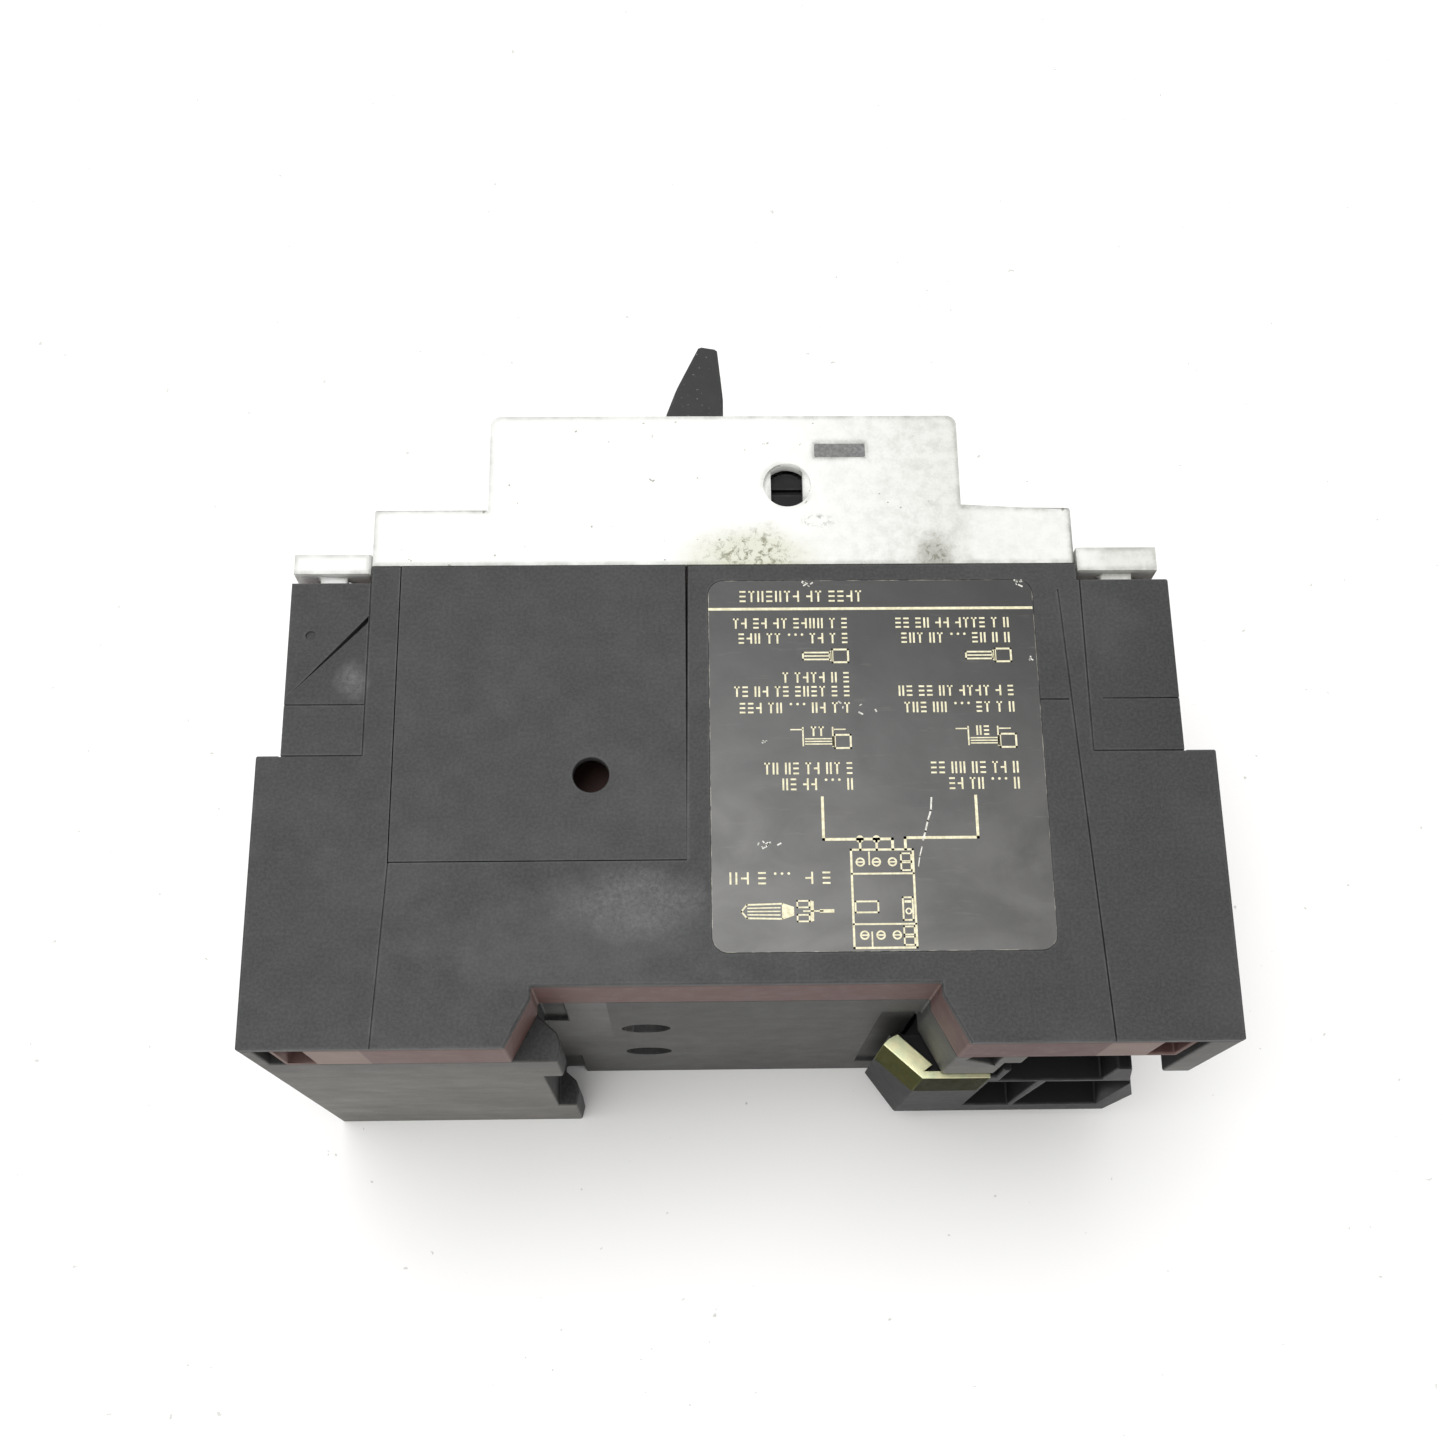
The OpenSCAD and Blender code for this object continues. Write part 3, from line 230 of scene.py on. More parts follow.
    def roughness(self, value, low, high):
        made = self.node("ShaderNodeMapRange", Value=value)
        made.inputs["To Min"].default_value = low
        made.inputs["To Max"].default_value = high
        self.put(made.outputs["Result"], self.shader.inputs["Roughness"])

    def bump(self, *heights):
        """Bumps laid on each other; each is a height output and its depth in millimetres."""
        normal = None
        for height, depth in heights:
            made = self.node("ShaderNodeBump", Height=height, Distance=depth * MM)
            if normal:
                self.put(normal, made.inputs["Normal"])
            normal = made.outputs["Normal"]
        self.put(normal, self.shader.inputs["Normal"])


def thermoset(name, dark, light, worn, dusty_side=False, dust_and_painted_light_back=False):
    """Filled black moulding compound: mottled, grainy, dusty in places and rubbed pale on its edges; if
    asked, faces that look along −Y get painted light from the viewer's side, strongest on the foot and
    broken into dust streaks.
    """
    f = Finish(name, Specular_IOR_Level=0.3 if dust_and_painted_light_back else 0.4)
    base = f.mix(f.noise(9, 5, 0.62), dark, light)
    grain = f.ramp(f.noise(0.3, 2, 0.75), (0.38, 0.0), (0.66, 1.0))
    base = f.mix(f.both(grain, 0.14), base, (0.13, 0.13, 0.13))
    haze = f.ramp(f.noise(15, 4, 0.6, distort=0.4), (0.48, 0.0), (0.72, 0.09))
    base = f.mix(haze, base, (0.17, 0.17, 0.168))
    if dusty_side:
        film = f.patch((-9.5, 7.5), (8.0, 4.2), 0.9)
        crumbs = f.ramp(f.noise(0.42, 6, 0.8, distort=0.4), (0.36, 0.2), (0.66, 1.0))
        base = f.mix(f.both(film, crumbs, 0.42), base, (0.19, 0.19, 0.19))
        veil = f.patch((-14, 4), (24, 7), 1.2, 6)
        base = f.mix(f.both(veil, 0.16), base, (0.12, 0.122, 0.122))
        chalk = f.patch((-36.4, 29.2), (2.6, 2.6), 1.3, 1.2)
        base = f.mix(f.both(chalk, crumbs, 0.5), base, (0.2, 0.2, 0.2))
    if dust_and_painted_light_back:
        # Painted light: faces that look along −Y are made paler as if lit from the viewer's side, most on
        # the foot and fading higher up, broken into streaks of dust.
        foot = f.less(f.along("Y", -4.6, -1.2))
        streaks = f.ramp(f.noise(5, 6, 0.7, stretch=(0.3, 1, 1), distort=0.5), (0.25, 0.35), (0.75, 1.0))
        shade = f.sums("SUBTRACT", 1.0, f.both(f.along("Z", 4, 18), 0.5))
        amount = f.both(f.facing("Y", -1), f.sums("ADD", f.both(foot, 0.32), 0.07), streaks, shade)
        base = f.mix(amount, base, (0.3, 0.285, 0.25))
        seat = f.both(f.less(f.along("X", -12.7, -12.6)), f.along("Z", -4, 12), f.facing("Y", -1))
        base = f.mix(f.both(seat, f.along("Y", -1.5, -0.3), 0.22), base, (0.24, 0.24, 0.23))
    rub = f.both(f.edges(0.3), f.ramp(f.noise(2.5, 3), (0.35, 0.15), (0.7, 1.0)), worn)
    f.colour(f.mix(rub, base, (0.12, 0.12, 0.12)))
    f.roughness(f.noise(3, 4), 0.5, 0.7)
    f.bump((f.noise(0.3, 3, 0.65), 0.022), (f.noise(4, 2), 0.03))
    return f.material


def cover_plastic():
    """Light grey cover plastic, spark eroded, greyed towards the load end and grimy along its low edge."""
    f = Finish("cover_plastic", Specular_IOR_Level=0.4)
    base = f.mix(f.noise(9, 4), (0.67, 0.675, 0.655), (0.73, 0.73, 0.712))
    cloudy = f.ramp(f.noise(1.3, 6, 0.8), (0.42, 0.0), (0.66, 1.0))
    shoulder = f.both(f.along("X", 22.5, 23.5), f.less(f.along("X", 35, 36)), 0.6)
    grey = f.mix(f.both(cloudy, f.along("X", 4, 20), f.less(shoulder), 0.7), base, (0.4, 0.4, 0.37))
    grey = f.mix(f.both(f.along("X", 6, 24), f.less(shoulder), 0.5), grey, (0.46, 0.46, 0.42))
    rim = f.both(f.edges(0.8, 0.03, 0.4), f.ramp(f.noise(2.6, 4, 0.7), (0.36, 0.25), (0.64, 1.0)))
    grey = f.mix(rim, grey, (0.27, 0.27, 0.245))
    film = f.mix(f.both(f.patch((1.5, 42.0), (7.5, 3.6), 0.8), 0.55), grey, (0.44, 0.44, 0.3))
    crumbs = f.ramp(f.noise(0.9, 6, 0.8, distort=0.5), (0.5, 0.0), (0.6, 1.0))
    spill = f.both(f.patch((1.6, 42.0), (5.6, 3.4), 0.9), crumbs, 0.9)
    corner = f.both(f.patch((19.4, 41.8), (2.3, 2.9), 0.8, 1.0), f.sums("ADD", f.both(crumbs, 0.45), 0.5))
    fleck = f.both(f.patch((8.0, 45.6), (1.9, 0.9), 0.9, 0.8), crumbs, 0.8)
    dirty = f.mix(spill, film, (0.13, 0.125, 0.07))
    dirty = f.mix(corner, dirty, (0.16, 0.155, 0.12))
    dirty = f.mix(fleck, dirty, (0.1, 0.1, 0.07))
    spots = f.ramp(f.noise(0.8, 2, 0.5), (0.735, 0.0), (0.76, 0.8))
    f.colour(f.mix(spots, dirty, (0.2, 0.19, 0.15)))
    f.roughness(f.noise(2.5, 3), 0.46, 0.62)
    f.bump((f.noise(0.22, 2, 0.6), 0.018), (f.noise(5, 2), 0.02))
    return f.material


def red_thermoset():
    """Dark red brown moulding compound, paler in two stretches, with painted light making it paler towards
    the line end.
    """
    f = Finish("red_thermoset", Specular_IOR_Level=0.3)
    base = f.mix(f.noise(5, 5, 0.65), (0.052, 0.021, 0.019), (0.08, 0.034, 0.03))
    # Painted light: paler towards the line end, as if lit more from that side.
    base = f.mix(f.along("X", -34, 24), f.mix(0.35, base, (0.17, 0.11, 0.095)), base)
    dust = f.ramp(f.noise(1.4, 4, 0.7), (0.52, 0.0), (0.76, 0.4))
    base = f.mix(dust, base, (0.16, 0.115, 0.1))
    for start, end in ((-39.4, -34.2), (33.2, 38.1)):
        stretch = f.both(f.along("X", start, start + 0.1), f.less(f.along("X", end - 0.1, end)))
        base = f.mix(f.both(stretch, 0.5), base, (0.22, 0.165, 0.14))
    f.colour(f.mix(f.both(f.edges(0.3), 0.5), base, (0.17, 0.11, 0.095)))
    f.roughness(f.noise(3, 3), 0.48, 0.68)
    f.bump((f.noise(0.4, 3), 0.02))
    return f.material


def label_film():
    """Dark satin film with faint waves, a painted sheen towards low X and low Y, fine scratches and pale
    wear on its rim.
    """
    f = Finish("label_film", Specular_IOR_Level=0.45)
    base = f.mix(f.noise(9, 4), (0.011, 0.0106, 0.0106), (0.022, 0.0212, 0.0204))
    # Painted sheen: paler towards low Y and low X, broken into clouds.
    painted_sheen = f.both(f.less(f.along("Y", 2, 34)), f.less(f.both(f.along("X", -12, 16), 0.45)))
    cloud = f.ramp(f.noise(5.5, 4, 0.5, stretch=(0.6, 1, 1), distort=0.9), (0.3, 0.45), (0.62, 1.0))
    base = f.mix(f.both(painted_sheen, cloud), base, (0.14, 0.138, 0.132))
    scuffs = f.ramp(f.noise(1.1, 4, 0.7, stretch=(0.25, 1.6, 1)), (0.6, 0.0), (0.8, 0.35))
    rim = f.sums("MULTIPLY", f.edges(0.12), f.ramp(f.noise(1.4, 3), (0.45, 0.0), (0.65, 1.0)))
    f.colour(f.mix(rim, f.mix(scuffs, base, (0.12, 0.118, 0.11)), (0.42, 0.4, 0.33)))
    f.roughness(f.noise(6, 4, 0.6, distort=0.5), 0.26, 0.4)
    f.bump((f.noise(7, 3, 0.5), 0.06), (f.noise(0.5, 2), 0.003))
    return f.material


def ink(name, dark, light):
    """Printed ink, a little worn."""
    f = Finish(name, Specular_IOR_Level=0.5)
    f.colour(f.mix(f.ramp(f.noise(0.35, 3, 0.7), (0.4, 0.0), (0.62, 1.0)), dark, light))
    f.roughness(f.noise(0.8, 2), 0.4, 0.6)
    f.bump((f.noise(0.25, 2), 0.004))
    return f.material


def moulded(name, dark, light, low=0.38, high=0.58, grain=0.35, level=0.5, rubbed=0.06, specks=0.0):
    """Small moulded plastic piece with a fine grain and lightly rubbed edges."""
    f = Finish(name, Specular_IOR_Level=level)
    base = f.mix(f.noise(3, 4, 0.6), dark, light)
    pale = tuple(min(1, rubbed + 1.5 * c) for c in light)
    rub = f.both(f.edges(0.25), f.ramp(f.noise(1.2, 3), (0.4, 0.1), (0.7, 0.8)))
    base = f.mix(rub, base, pale)
    if specks:
        base = f.mix(f.ramp(f.noise(0.5, 3, 0.6), (0.66, 0.0), (0.72, specks)), base, (0.4, 0.4, 0.38))
    f.colour(base)
    f.roughness(f.noise(1.6, 3), low, high)
    f.bump((f.noise(grain, 3), 0.015))
    return f.material


def metal(name, dark, light, low, high, stretch=(1, 1, 1), stain=None, painted_reflection_back=None):
    """Plated or bare metal with drawn or rolled grain and clouded by handling; if asked, faces that look
    along −Y get a mottled painted dark reflection, and their edges are spared as a painted highlight.
    """
    f = Finish(name, Metallic=1.0)
    streaks = f.noise(0.5, 4, 0.65, stretch=stretch)
    base = f.mix(streaks, dark, light)
    if stain:
        cloud = f.ramp(f.noise(2.4, 4, 0.6, distort=0.7), (0.38, 0.0), (0.62, 1.0))
        base = f.mix(cloud, base, stain)
    # Painted dark reflection: faces that look along −Y are darkened in mottled patches, and their edges are
    # spared, which leaves a painted highlight on them.
    if painted_reflection_back:
        f.shader.inputs["Specular Tint"].default_value = (0.2, 0.2, 0.16, 1)
        mottle = f.ramp(f.noise(0.5, 4, 0.75), (0.3, 1.0), (0.75, 0.8))
        painted_dark_reflection = f.both(f.facing("Y", -1), f.less(f.both(f.edges(0.16), 0.7)), mottle)
        base = f.mix(painted_dark_reflection, base, painted_reflection_back)
    f.colour(base)
    f.roughness(f.noise(0.9, 4, 0.65, stretch=stretch), low, high)
    f.bump((streaks, 0.006))
    return f.material


MATERIALS = {
    "black_thermoset": thermoset("black_thermoset", (0.015, 0.0152, 0.0156),
                                 (0.025, 0.0252, 0.0256), 0.35, dusty_side=True),
    "back_thermoset": thermoset("back_thermoset", (0.015, 0.015, 0.0148),
                                (0.026, 0.0258, 0.025), 0.35, dust_and_painted_light_back=True),
    "panel_thermoset": thermoset("panel_thermoset", (0.018, 0.0184, 0.0182),
                                 (0.026, 0.0266, 0.0262), 0.25),
    "grey_cover": cover_plastic(),
    "red_thermoset": red_thermoset(),
    "label_film": label_film(),
    "slider_black": moulded("slider_black", (0.006, 0.006, 0.0066), (0.011, 0.011, 0.0118), 0.46, 0.6,
                            level=0.16, rubbed=0.03),
    "lever_black": moulded("lever_black", (0.012, 0.012, 0.0125), (0.021, 0.021, 0.0215), 0.5, 0.66,
                           level=0.4, rubbed=0.03, specks=0.5),
    # The zinc plate's last colour is the painted dark reflection on its faces that look along −Y.
    "zinc_yellow": metal("zinc_yellow", (0.5, 0.46, 0.26), (0.78, 0.75, 0.5), 0.2, 0.42, (1, 1, 0.3),
                         (0.52, 0.56, 0.36), (0.04, 0.04, 0.026)),
    "steel": metal("steel", (0.42, 0.43, 0.44), (0.66, 0.67, 0.68), 0.24, 0.44, (1, 0.3, 1)),
    "spring_steel": metal("spring_steel", (0.5, 0.5, 0.52), (0.72, 0.72, 0.74), 0.16, 0.3),
    "copper": metal("copper", (0.62, 0.3, 0.19), (0.83, 0.47, 0.32), 0.22, 0.42, (0.4, 1, 1),
                    (0.5, 0.26, 0.18)),
    "contact_metal": metal("contact_metal", (0.62, 0.5, 0.36), (0.8, 0.68, 0.5), 0.24, 0.4, (0.4, 1, 1)),
    "natural_plastic": moulded("natural_plastic", (0.55, 0.5, 0.38), (0.68, 0.63, 0.5)),
    "dial_plastic": moulded("dial_plastic", (0.66, 0.63, 0.52), (0.78, 0.76, 0.66), 0.26, 0.42),
    "test_red": moulded("test_red", (0.36, 0.03, 0.02), (0.5, 0.055, 0.035), 0.26, 0.42),
}
GOLD_INK = ink("gold_ink", (0.56, 0.52, 0.34), (0.74, 0.7, 0.5))
PALE_SCRATCH = ink("pale_scratch", (0.42, 0.41, 0.36), (0.7, 0.69, 0.64))
DARK_INK = ink("dark_ink", (0.02, 0.02, 0.022), (0.05, 0.05, 0.052))
GREY_STRIP = ink("grey_strip", (0.1, 0.1, 0.1), (0.17, 0.17, 0.165))


# ---- Pieces ----

def add_piece(mesh, name, material, body, stands_for=()):
    """Links a mesh as a piece that rides on a body and, if asked, stands for CAD nodes."""
    mesh.materials.clear()
    mesh.materials.append(material)
    piece = bpy.data.objects.new(name, mesh)
    scene.collection.objects.link(piece)
    if stands_for:
        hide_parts(*stands_for)
    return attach(piece, body)


def roomy_edges(bm, width):
    """Sharp edges with room for a round: neighbours long enough, and no needle corner at either end."""
    def long_enough(edge):
        return edge.calc_length() > ROOM_IN_WIDTHS * width

    def blunt(vert):
        ways = [(e.other_vert(vert).co - vert.co).normalized() for e in vert.link_edges]
        return all(a.dot(b) < NEEDLE_COSINE for i, a in enumerate(ways) for b in ways[i + 1:])

    sharp = [e for e in bm.edges if len(e.link_faces) == 2
             and e.calc_face_angle(0) > math.radians(ROUND_OVER_DEG) and long_enough(e)]
    return [e for e in sharp
            if all(blunt(v) and all(long_enough(n) for n in v.link_edges) for v in e.verts)]


def rounded(bm, width):
    edges = roomy_edges(bm, width)
    if edges:
        bmesh.ops.bevel(bm, geom=edges, offset=width, offset_type="OFFSET", segments=2,
                        profile=0.5, affect="EDGES", clamp_overlap=False)


def refined(node, width, material=None):
    """Puts a copy of a CAD node in its place, with merged flats, rounded edges and smooth curves."""
    mesh = nodes[node].data.copy()
    bm = bmesh.new()
    bm.from_mesh(mesh)
    bmesh.ops.remove_doubles(bm, verts=bm.verts, dist=MERGE_MM * MM)
    bmesh.ops.dissolve_limit(bm, angle_limit=math.radians(FLAT_DEG), verts=bm.verts, edges=bm.edges)
    rounded(bm, width * MM)
    bm.to_mesh(mesh)
    bm.free()
    mesh.shade_smooth()
    mesh.set_sharp_from_angle(angle=math.radians(SHADE_SHARP_DEG))
    slot_name = SLOT_OF[node]
    piece = add_piece(mesh, node + "_skin", material or MATERIALS[slot_name], BODY_OF[node],
                      (node,))
    weighted = piece.modifiers.new("weighted", "WEIGHTED_NORMAL")
    weighted.keep_sharp = True


ROUNDED_NODES = {
    "upper_housing": 0.22, "front_cover": 0.3, "line_terminal_cover": 0.25,
    "load_terminal_cover": 0.25, "module_housing": 0.2, "side_cover": 0.18, "rail_slider": 0.2,
    "latch_plate": 0.08, "toggle_lever": 0.25, "current_dial": 0.12, "test_button": 0.12,
    "housing_screws": 0.1, "line_screws": 0.1, "load_screws": 0.1, "line_clamps": 0.1,
    "load_clamps": 0.1,
}
for node_name, round_mm in ROUNDED_NODES.items():
    refined(node_name, round_mm)
refined("base_housing", 0.22, material=MATERIALS["back_thermoset"])
refined("blanking_panel", 0.12, material=MATERIALS["panel_thermoset"])
refined("side_label", 0.03)



def sprung(node, fixed_end, moving_end):
    """A coil spring copied from its CAD node, given its finish and baked in place in the node's stead."""
    mesh = nodes[node].data.copy()
    mesh.materials.clear()
    mesh.materials.append(MATERIALS[SLOT_OF[node]])
    piece = bpy.data.objects.new(node + "_coils", mesh)
    scene.collection.objects.link(piece)
    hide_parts(node)
    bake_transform(piece)


def box_end(node, axis, side, slack=0.0):
    """The middle of a node's box, moved to its low or high side along one axis, and slack mm beyond."""
    low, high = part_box(node)
    point = (low + high) / 2
    end = getattr(high, axis) + slack * MM if side == "high" else getattr(low, axis) - slack * MM
    setattr(point, axis, end)
    return point


# Each spring, the body it presses on, its axis, its resting and its moving side, and its slack. Slack
# moves the moving end's point that many millimetres beyond the node's box. The main spring's 12 mm was
# chosen by trial.
SPRUNG = {
    "slider_spring": ("slider", "x", "high", "low", 0),
    "test_spring": ("test", "y", "low", "high", 0),
    "module_spring": ("module_carrier", "y", "low", "high", 0),
    "main_spring": ("lever", "x", "low", "high", 12),
}
for node_name, (moving_body, axis, resting, moving_side, slack) in SPRUNG.items():
    sprung(node_name, box_end(node_name, axis, resting),
           box_end(node_name, axis, moving_side, slack))

stood_for = set(ROUNDED_NODES) | {"base_housing", "blanking_panel", "side_label"} | set(SPRUNG)
for node_name, node_object in nodes.items():
    if node_name not in stood_for:
        node_object.data.materials.clear()
        node_object.data.materials.append(MATERIALS[SLOT_OF[node_name]])


class Print:
    """Flat printed shapes on a face, gathered into one thin mesh.

    Shapes are drawn in millimetres from an origin corner; across and down are directions on the face."""

    def __init__(self, origin, across, down, out, thick=0.012):
        self.origin, self.across, self.down, self.out = origin, across, down, out
        self.thick = thick * MM
        self.bm = bmesh.new()

    def polygon(self, points):
        flat = [self.origin + self.across * (u * MM) + self.down * (v * MM) for u, v in points]
        if (flat[1] - flat[0]).cross(flat[2] - flat[0]).dot(self.out) < 0:
            flat.reverse()
        lows = [self.bm.verts.new(p) for p in flat]
        tops = [self.bm.verts.new(p + self.out * self.thick) for p in flat]
        self.bm.faces.new(tops)
        self.bm.faces.new(lows[::-1])
        for i, low in enumerate(lows):
            after = (i + 1) % len(lows)
            self.bm.faces.new((low, lows[after], tops[after], tops[i]))

    def box(self, u0, v0, u1, v1):
        self.polygon([(u0, v0), (u1, v0), (u1, v1), (u0, v1)])

    def frame(self, u0, v0, u1, v1, width):
        corners = [(u0, v0), (u1, v0), (u1, v1), (u0, v1), (u0, v0)]
        self.line(corners, width)

    def line(self, points, width):
        half = width / 2
        for (u0, v0), (u1, v1) in zip(points, points[1:]):
            length = math.hypot(u1 - u0, v1 - v0)
            du, dv = (u1 - u0) / length * half, (v1 - v0) / length * half
            self.polygon([(u0 - du + dv, v0 - dv - du), (u1 + du + dv, v1 + dv - du),
                          (u1 + du - dv, v1 + dv + du), (u0 - du - dv, v0 - dv + du)])

    def disc(self, u, v, radius, sides=16):
        turn = [2 * math.pi * i / sides for i in range(sides)]
        self.polygon([(u + radius * math.cos(t), v + radius * math.sin(t)) for t in turn])

    def ring(self, u, v, radius, width, sides=16):
        inner, outer = radius - width / 2, radius + width / 2
        for i in range(sides):
            a, b = (2 * math.pi * (i + k) / sides for k in (0, 1))
            self.polygon([(u + outer * math.cos(a), v + outer * math.sin(a)),
                          (u + outer * math.cos(b), v + outer * math.sin(b)),
                          (u + inner * math.cos(b), v + inner * math.sin(b)),
                          (u + inner * math.cos(a), v + inner * math.sin(a))])

    def finish(self, name, material, body):
        mesh = bpy.data.meshes.new(name)
        self.bm.to_mesh(mesh)
        self.bm.free()
        return add_piece(mesh, name, material, body)


def row_of_marks(sheet, u, v, words, height=1.05, pitch=0.77):
    """A row of small abstract marks in place of printed words; words gives how many marks each has."""
    stroke = 0.17
    wide = pitch * 0.68
    for count in words:
        for _ in range(count):
            kind = draws.choice("ABCD")
            if kind == "A":
                sheet.box(u, v, u + stroke, v + height)
                sheet.box(u + wide - stroke, v, u + wide, v + height)
            elif kind == "B":
                for level in (0, 0.5, 1):
                    at = v + level * (height - stroke)
                    sheet.box(u, at, u + wide, at + stroke)
            elif kind == "C":
                sheet.box(u, v, u + stroke, v + height)
                sheet.box(u + stroke, v + height * 0.42, u + wide, v + height * 0.42 + stroke)
            else:
                sheet.box(u + wide * 0.35, v, u + wide * 0.35 + stroke, v + height)
                sheet.box(u, v + height - stroke, u + wide, v + height)
            u += pitch
        u += pitch * 0.5
    return u


def dots(sheet, u, v, count=3, step=0.62):
    for i in range(count):
        sheet.disc(u + i * step, v, 0.13, 8)


def wire_icon(sheet, u, v, bare):
    """A conductor's end in its insulation, bare or with a ferrule."""
    sheet.frame(u, v, u + 1.5, v + 1.3, 0.18)
    sheet.box(u + 1.5, v + 0.12, u + 1.75, v + 1.18)
    if bare:
        for k in range(3):
            sheet.box(u + 1.75, v + 0.35 + 0.26 * k, u + 4.3, v + 0.47 + 0.26 * k)
        for at in (u + 1.6, u + 4.4):
            sheet.box(at, v + 0.2, at + 0.14, v + 2.1)
        for a, b in ((0.5, 1.6), (4.5, 5.6)):
            sheet.line([(u + a, v + 1.85), (u + b, v + 1.85)], 0.12)
        row_of_marks(sheet, u + 2.5, v + 1.2, (2,), 0.95, 0.72)
    else:
        sheet.frame(u + 1.75, v + 0.3, u + 4.3, v + 1.0, 0.16)
        sheet.line([(u + 1.9, v + 0.65), (u + 4.1, v + 0.65)], 0.14)


def device_icon(sheet, u, v):
    """An outline drawing of the breaker's front, line end at the top: terminals, lever and module."""
    wide, high = 5.7, 9.17
    side = 1.12
    sheet.frame(u, v, u + wide, v + high, 0.2)
    for level in (2.19, 6.9):
        sheet.line([(u, v + level), (u + wide, v + level)], 0.17)
    for level, start in ((1.17, 1.77), (8.0, 1.92)):
        for k in range(3):
            at = u + start + 1.48 * k
            sheet.ring(at, v + level, 0.36, 0.16, 12)
            sheet.line([(at - 0.2, v + level), (at + 0.2, v + level)], 0.14)
    for a, b in ((0.17, 1.43), (7.78, 8.92)):
        sheet.line([(u + 4.05, v + a), (u + 4.05, v + b)], 0.14)
    sheet.frame(u + 3.39, v + 3.28, u + 5.47, v + 4.3, 0.16)
    sheet.frame(u + 0.23, v + 2.55, u + side, v + 4.65, 0.16)
    sheet.ring(u + 0.62, v + 3.37, 0.25, 0.14, 10)
    sheet.box(u + 0.35, v + 4.15, u + 0.98, v + 4.38)
    for level in (0.25, 1.2, 7.2, 8.05):
        sheet.frame(u + 0.17, v + level, u + side, v + level + 0.74, 0.15)


def driver_icon(sheet, u, v):
    """A small screwdriver: handle, collar, shaft and blade."""
    sheet.line([(u, v), (u + 1.0, v)], 0.32)
    sheet.line([(u + 0.9, v), (u + 2.6, v)], 0.14)
    sheet.polygon([(u + 1.7, v - 0.9), (u + 2.0, v - 1.0), (u + 2.0, v + 1.0), (u + 1.7, v + 0.9)])
    sheet.frame(u + 2.1, v - 0.95, u + 3.2, v - 0.35, 0.15)
    sheet.frame(u + 2.1, v + 0.35, u + 3.2, v + 0.95, 0.15)
    sheet.polygon([(u + 3.5, v - 0.4), (u + 4.6, v - 0.78), (u + 4.6, v + 0.78), (u + 3.5, v + 0.4)])
    sheet.line([(u + 4.6, v - 0.7), (u + 7.8, v - 0.62), (u + 8.3, v), (u + 7.8, v + 0.62),
                (u + 4.6, v + 0.7)], 0.16)
    for k in (-1, 0, 1):
        sheet.line([(u + 4.8, v + 0.34 * k), (u + 7.7, v + 0.3 * k)], 0.12)


def label_print():
    """The label's print: generic marks for its words, with wiring, wire and device pictograms."""
    low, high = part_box("side_label")
    corner = Vector((high.x, low.y, high.z))
    sheet = Print(corner, Vector((-1, 0, 0)), Vector((0, 1, 0)), Vector((0, 0, 1)))
    width = (high.x - low.x) / MM
    near, far = 2.5, 18.1
    sheet.box(0.1, 33.33, width, 33.6)
    row_of_marks(sheet, 16.6, 34.2, (4, 2, 7), 1.15, 0.86)
    row_of_marks(sheet, 20.5, 6.3, (1, 1), 1.15, 1.05)
    dots(sheet, 24.3, 7.3)
    row_of_marks(sheet, 26.4, 6.3, (1, 2), 1.15, 1.05)
    for u in (near, far):
        for v, first, then in ((15.25, (1,), (2, 2)), (16.8, (1, 2), (2, 2, 2))):
            end = row_of_marks(sheet, u, v, first, 1.15)
            if len(first) == 1:
                dots(sheet, end + 0.1, v + 1.0)
                end += 2.2
            row_of_marks(sheet, end, v, then, 1.15)
    for u, v in ((near, 22.85), (far, 22.85), (near, 29.9), (far, 29.9)):
        end = row_of_marks(sheet, u, v, (1, 1, 2))
        dots(sheet, end + 0.1, v + 0.9)
        row_of_marks(sheet, end + 2.2, v, (2, 3))
    for u, v in ((near, 24.5), (far, 24.5), (near, 31.45), (far, 31.45)):
        row_of_marks(sheet, u, v, (1, 1, 4, 2, 2, 2))
    row_of_marks(sheet, far, 25.9, (1, 1, 4, 1))
    for u in (near, far):
        wire_icon(sheet, u, 27.95, False)
        wire_icon(sheet, u + 0.05, 19.35, True)
    device_icon(sheet, 12.82, 0.32)
    driver_icon(sheet, 20.4, 3.77)
    left, right = 21.0, 6.7
    sheet.line([(left, 14.5), (left, 10.5), (14.65, 10.5), (14.65, 9.5)], 0.26)
    for u in (17.65, 16.13):
        sheet.disc(u, 10.5, 0.36)
        sheet.line([(u, 10.5), (u, 9.5)], 0.22)
    sheet.line([(right, 14.55), (right, 10.6), (13.47, 10.6), (13.47, 9.5)], 0.26)
    sheet.finish("label_print", GOLD_INK, "root")


